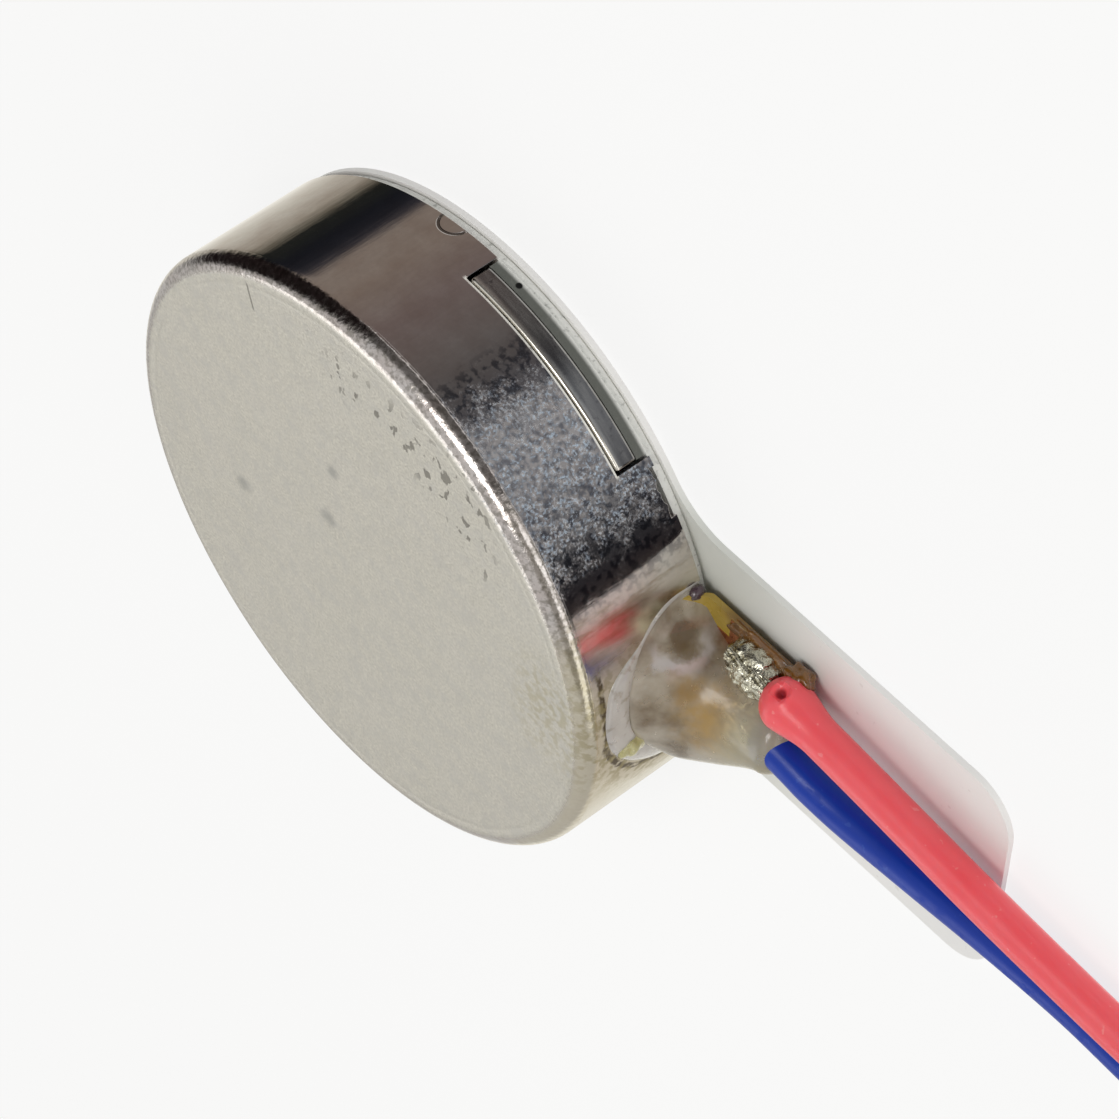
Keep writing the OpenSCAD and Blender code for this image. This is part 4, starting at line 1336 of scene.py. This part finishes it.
def windings():
    """Enamelled wire: rings round each coil's own middle, worked out from the place."""
    f = Finish("winding", Metallic=0.6, Coat_Weight=0.6, Coat_Roughness=0.15)
    from_middle = []
    for side in (-1, 1):
        angle = math.radians(180 + side * COIL_ANGLE)
        dx = f.math("SUBTRACT", f.x, COIL_ORBIT * math.cos(angle))
        dy = f.math("SUBTRACT", f.y, COIL_ORBIT * math.sin(angle))
        from_middle.append(f.length(dx, dy))
    nearest = f.math("MINIMUM", *from_middle)
    wave = f.math("SINE", f.math("MULTIPLY", nearest, 2 * math.pi / WIRE_PITCH))
    colour = f.between(f.ramp(wave, -1.0, 0.4), (110, 52, 26), (206, 118, 66))
    return f.done(colour, f.roughness(f.mottle(6.0), 0.22, 0.36), f.bump(wave, 0.6, 0.02))


steel = metal("shaft_steel", (186, 186, 190), (214, 214, 216), (0.12, 0.22))
brass = metal("brush_metal", (206, 176, 104), (228, 200, 134), (0.2, 0.34))
joint = metal("joint_solder", (180, 180, 178), (222, 222, 220), (0.2, 0.4))
washer = plastic("washer_plastic", (222, 214, 190), (236, 230, 212), (0.35, 0.5))
gold = metal("gold_plate", (216, 172, 96), (234, 196, 124), (0.16, 0.3))
coil = windings()
INNER = {
    "shaft": steel, "ring_magnet": metal("magnet", (92, 92, 98), (120, 120, 126), (0.3, 0.5)),
    "brush_positive": brass, "brush_negative": brass, "brush_solder_joints": joint,
    "lower_washer": washer, "upper_washer": washer,
    "bearing": metal("bearing_bronze", (168, 122, 70), (196, 150, 96), (0.3, 0.5), 10.0),
    "rotor_board": plastic("board", (24, 84, 48), (38, 106, 62), (0.3, 0.5)),
    "commutator_segments": gold, "coil_a": coil, "coil_b": coil, "coil_solder_joints": joint,
    "counterweight": metal("tungsten", (110, 110, 114), (142, 142, 146), (0.35, 0.55), 12.0),
    "rotor_moulding": plastic("moulding", (26, 26, 28), (40, 40, 43), (0.35, 0.55)),
}
for node, material in INNER.items():
    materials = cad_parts[node].data.materials
    materials.clear()
    materials.append(material)
print(len(INNER), "inner nodes finished")

# %% [markdown]
# ## Table
# The motor lies on a plain white table. The table glows a little by itself, which keeps it an
# even white with only soft shadows. Polished metal must not see it, so it is hidden from glossy
# rays, and its underside is clear, so that the motor can be seen from below.

# %% Table
bpy.ops.mesh.primitive_plane_add(size=3.0, location=(0, 0, liner_low[2] * MM - 0.02 * MM))
table = bpy.context.object
table.name = "table"
table.visible_glossy = False
paint = bpy.data.materials.new("table_white")
paint.use_nodes = True
t = Tree(paint.node_tree)
surface = t.tree.nodes["Principled BSDF"]
grain = t.group(MOTTLE, Vector=t.add("TexCoord").outputs["Object"], Scale=40.0, Contrast=1.0)
t.put(surface.inputs["Base Color"], t.between(grain, (120, 120, 119), (124, 124, 123)))
surface.inputs["Roughness"].default_value = 0.9
surface.inputs["Specular IOR Level"].default_value = 0.0
surface.inputs["Emission Color"].default_value = srgb(250, 250, 250)
surface.inputs["Emission Strength"].default_value = 0.82
clear = t.add("BsdfTransparent")
both_sides = t.add("MixShader", {
    0: t.add("NewGeometry").outputs["Backfacing"], 1: surface.outputs[0], 2: clear.outputs[0]})
t.put(t.tree.nodes["Material Output"].inputs[0], both_sides.outputs[0])
table.data.materials.append(paint)
print("table at", round(table.location.z / MM, 3), "mm")

# %% [markdown]
# ## Surroundings
# Polished metal shows what is round it, so most of the can's look comes from the world. The side
# mirrors the room below the horizon: a pale sweep, a dark camera side, and grey gaps between
# cards. An image of a room could give that, but a colour ramp over the angle round the horizon
# says it in a few numbers that can be tuned one by one.

# %% Bands round the horizon
# Direction in degrees from +X, and the grey seen there below the horizon
BANDS = [
    (-180, (70, 68, 60)), (-176, (120, 116, 104)), (-170.8, (170, 164, 151)),
    (-160.8, (194, 190, 178)), (-150.8, (214, 211, 199)), (-140.8, (232, 229, 218)),
    (-130.8, (248, 246, 236)), (-90, (240, 238, 230)), (-50, (206, 199, 190)),
    (-22, (162, 148, 130)), (-16, (148, 130, 110)), (-10.8, (122, 106, 92)), (-4, (70, 62, 58)),
    (9.2, (46, 44, 47)), (19.2, (54, 56, 60)), (29.2, (90, 92, 97)), (39.2, (134, 137, 142)),
    (59.2, (158, 162, 168)), (69.2, (136, 141, 146)), (77, (84, 84, 88)), (89.2, (94, 92, 92)),
    (99.2, (108, 103, 101)), (119.2, (121, 110, 107)), (139.2, (139, 128, 119)),
    (153, (142, 132, 123)), (157, (64, 62, 66)), (161, (38, 39, 45)), (168, (28, 30, 36)),
    (176, (36, 38, 36)),
]


def horizon(w, turn):
    """Colour of the bands at a turn in radians."""
    share = w.math("ADD", w.math("MULTIPLY", turn, 1 / (2 * math.pi)), 0.5)
    bands = w.add("ValToRGB", {0: share})
    ramp = bands.color_ramp
    while len(ramp.elements) > 1:
        ramp.elements.remove(ramp.elements[0])
    for k, (angle, grey) in enumerate(BANDS):
        place = (angle + 180) / 360
        stop = ramp.elements[0] if k == 0 else ramp.elements.new(place)
        stop.position = place
        stop.color = srgb(*grey)
    return bands.outputs[0]


print(len(BANDS), "bands round the horizon")

# %% [markdown]
# Above the horizon is a soft grey room that lights the satin face and the rim. It is darker over
# the lead side and over the ear next to it, with one bright strip of lamp low on the lead side,
# and a dark round thing low behind the can gives the rim its dark edge. Below the horizon a white
# card stands on those same two sides, and the floor straight below is white.

# %% World
LAMP_STRIP = (1.4, 1.4, 1.36, 1.0)
DARK_ROUND = tuple(direction(250, 5))
world = bpy.data.worlds.new("studio")
bpy.context.scene.world = world
world.use_nodes = True
w = Tree(world.node_tree)
ray = w.add("TexCoord").outputs["Generated"]
across, along, height = w.add("SeparateXYZ", {0: ray}).outputs
turn = w.math("ARCTAN2", along, across)
degrees = w.math("MULTIPLY", turn, 180 / math.pi)
ear_side = w.zone(degrees, 40.0, 125.0, 12.0)
lead_side = w.zone(degrees, -40.0, 50.0, 12.0)
toward = w.add("VectorMath", {0: ray, 1: DARK_ROUND}, operation="DOT_PRODUCT").outputs["Value"]
sky = w.between(w.ramp(height, 0.0, 0.9), (200, 199, 196), (214, 214, 212))
sky = w.tinted(sky, (108, 106, 104), ear_side, w.ramp(height, 0.75, 0.5))
sky = w.tinted(sky, (160, 157, 150), lead_side, w.ramp(height, 0.85, 0.7))
sky = w.mix(w.times(lead_side, w.zone(height, 0.02, 0.42, 0.08)), sky, LAMP_STRIP)
sky = w.tinted(sky, (34, 28, 28), w.ramp(toward, 0.62, 0.78))
card = w.times(w.highest(ear_side, lead_side), w.zone(height, -0.32, -0.12, 0.05))
room = w.mix(w.ramp(height, -0.2, -0.05), horizon(w, turn), sky)
room = w.tinted(room, (250, 250, 248), card)
room = w.tinted(room, (240, 240, 236), w.ramp(height, -0.55, -0.7))
w.put(w.tree.nodes["Background"].inputs[0], room)
w.tree.nodes["Background"].inputs[1].default_value = 1.0
print("world has", len(w.tree.nodes), "nodes")

# %% [markdown]
# Two rectangular lamps do what softboxes do on a product table. The key lamp stands over the lead
# side and draws the highlights on resin and leads, and a weak fill on the other side opens the
# shadows. A lamp's power grows with its area, so its brightness is given and the power follows.


# %% Softboxes
def softbox(name, azimuth, elevation, distance, width, height, brightness, tint=(1, 1, 1)):
    """A rectangular lamp that faces the motor; its power follows from how bright its face is."""
    data = bpy.data.lights.new(name, "AREA")
    data.shape, data.size, data.size_y = "RECTANGLE", width, height
    data.energy = brightness * math.pi * width * height
    data.color = tint
    lamp = bpy.data.objects.new(name, data)
    away = direction(azimuth, elevation)
    lamp.location = away * distance
    lamp.rotation_mode = "QUATERNION"
    lamp.rotation_quaternion = away.to_track_quat("Z", "Y")
    bpy.context.scene.collection.objects.link(lamp)
    print(name, "lamp has", round(data.energy, 4), "watts")
    return lamp


softbox("key", 155, 57, 0.30, 0.16, 0.10, 5.0, (1, 0.985, 0.96))
softbox("fill", 320, 50, 0.40, 0.20, 0.20, 1.2)
bpy.context.scene.view_settings.view_transform = "Standard"
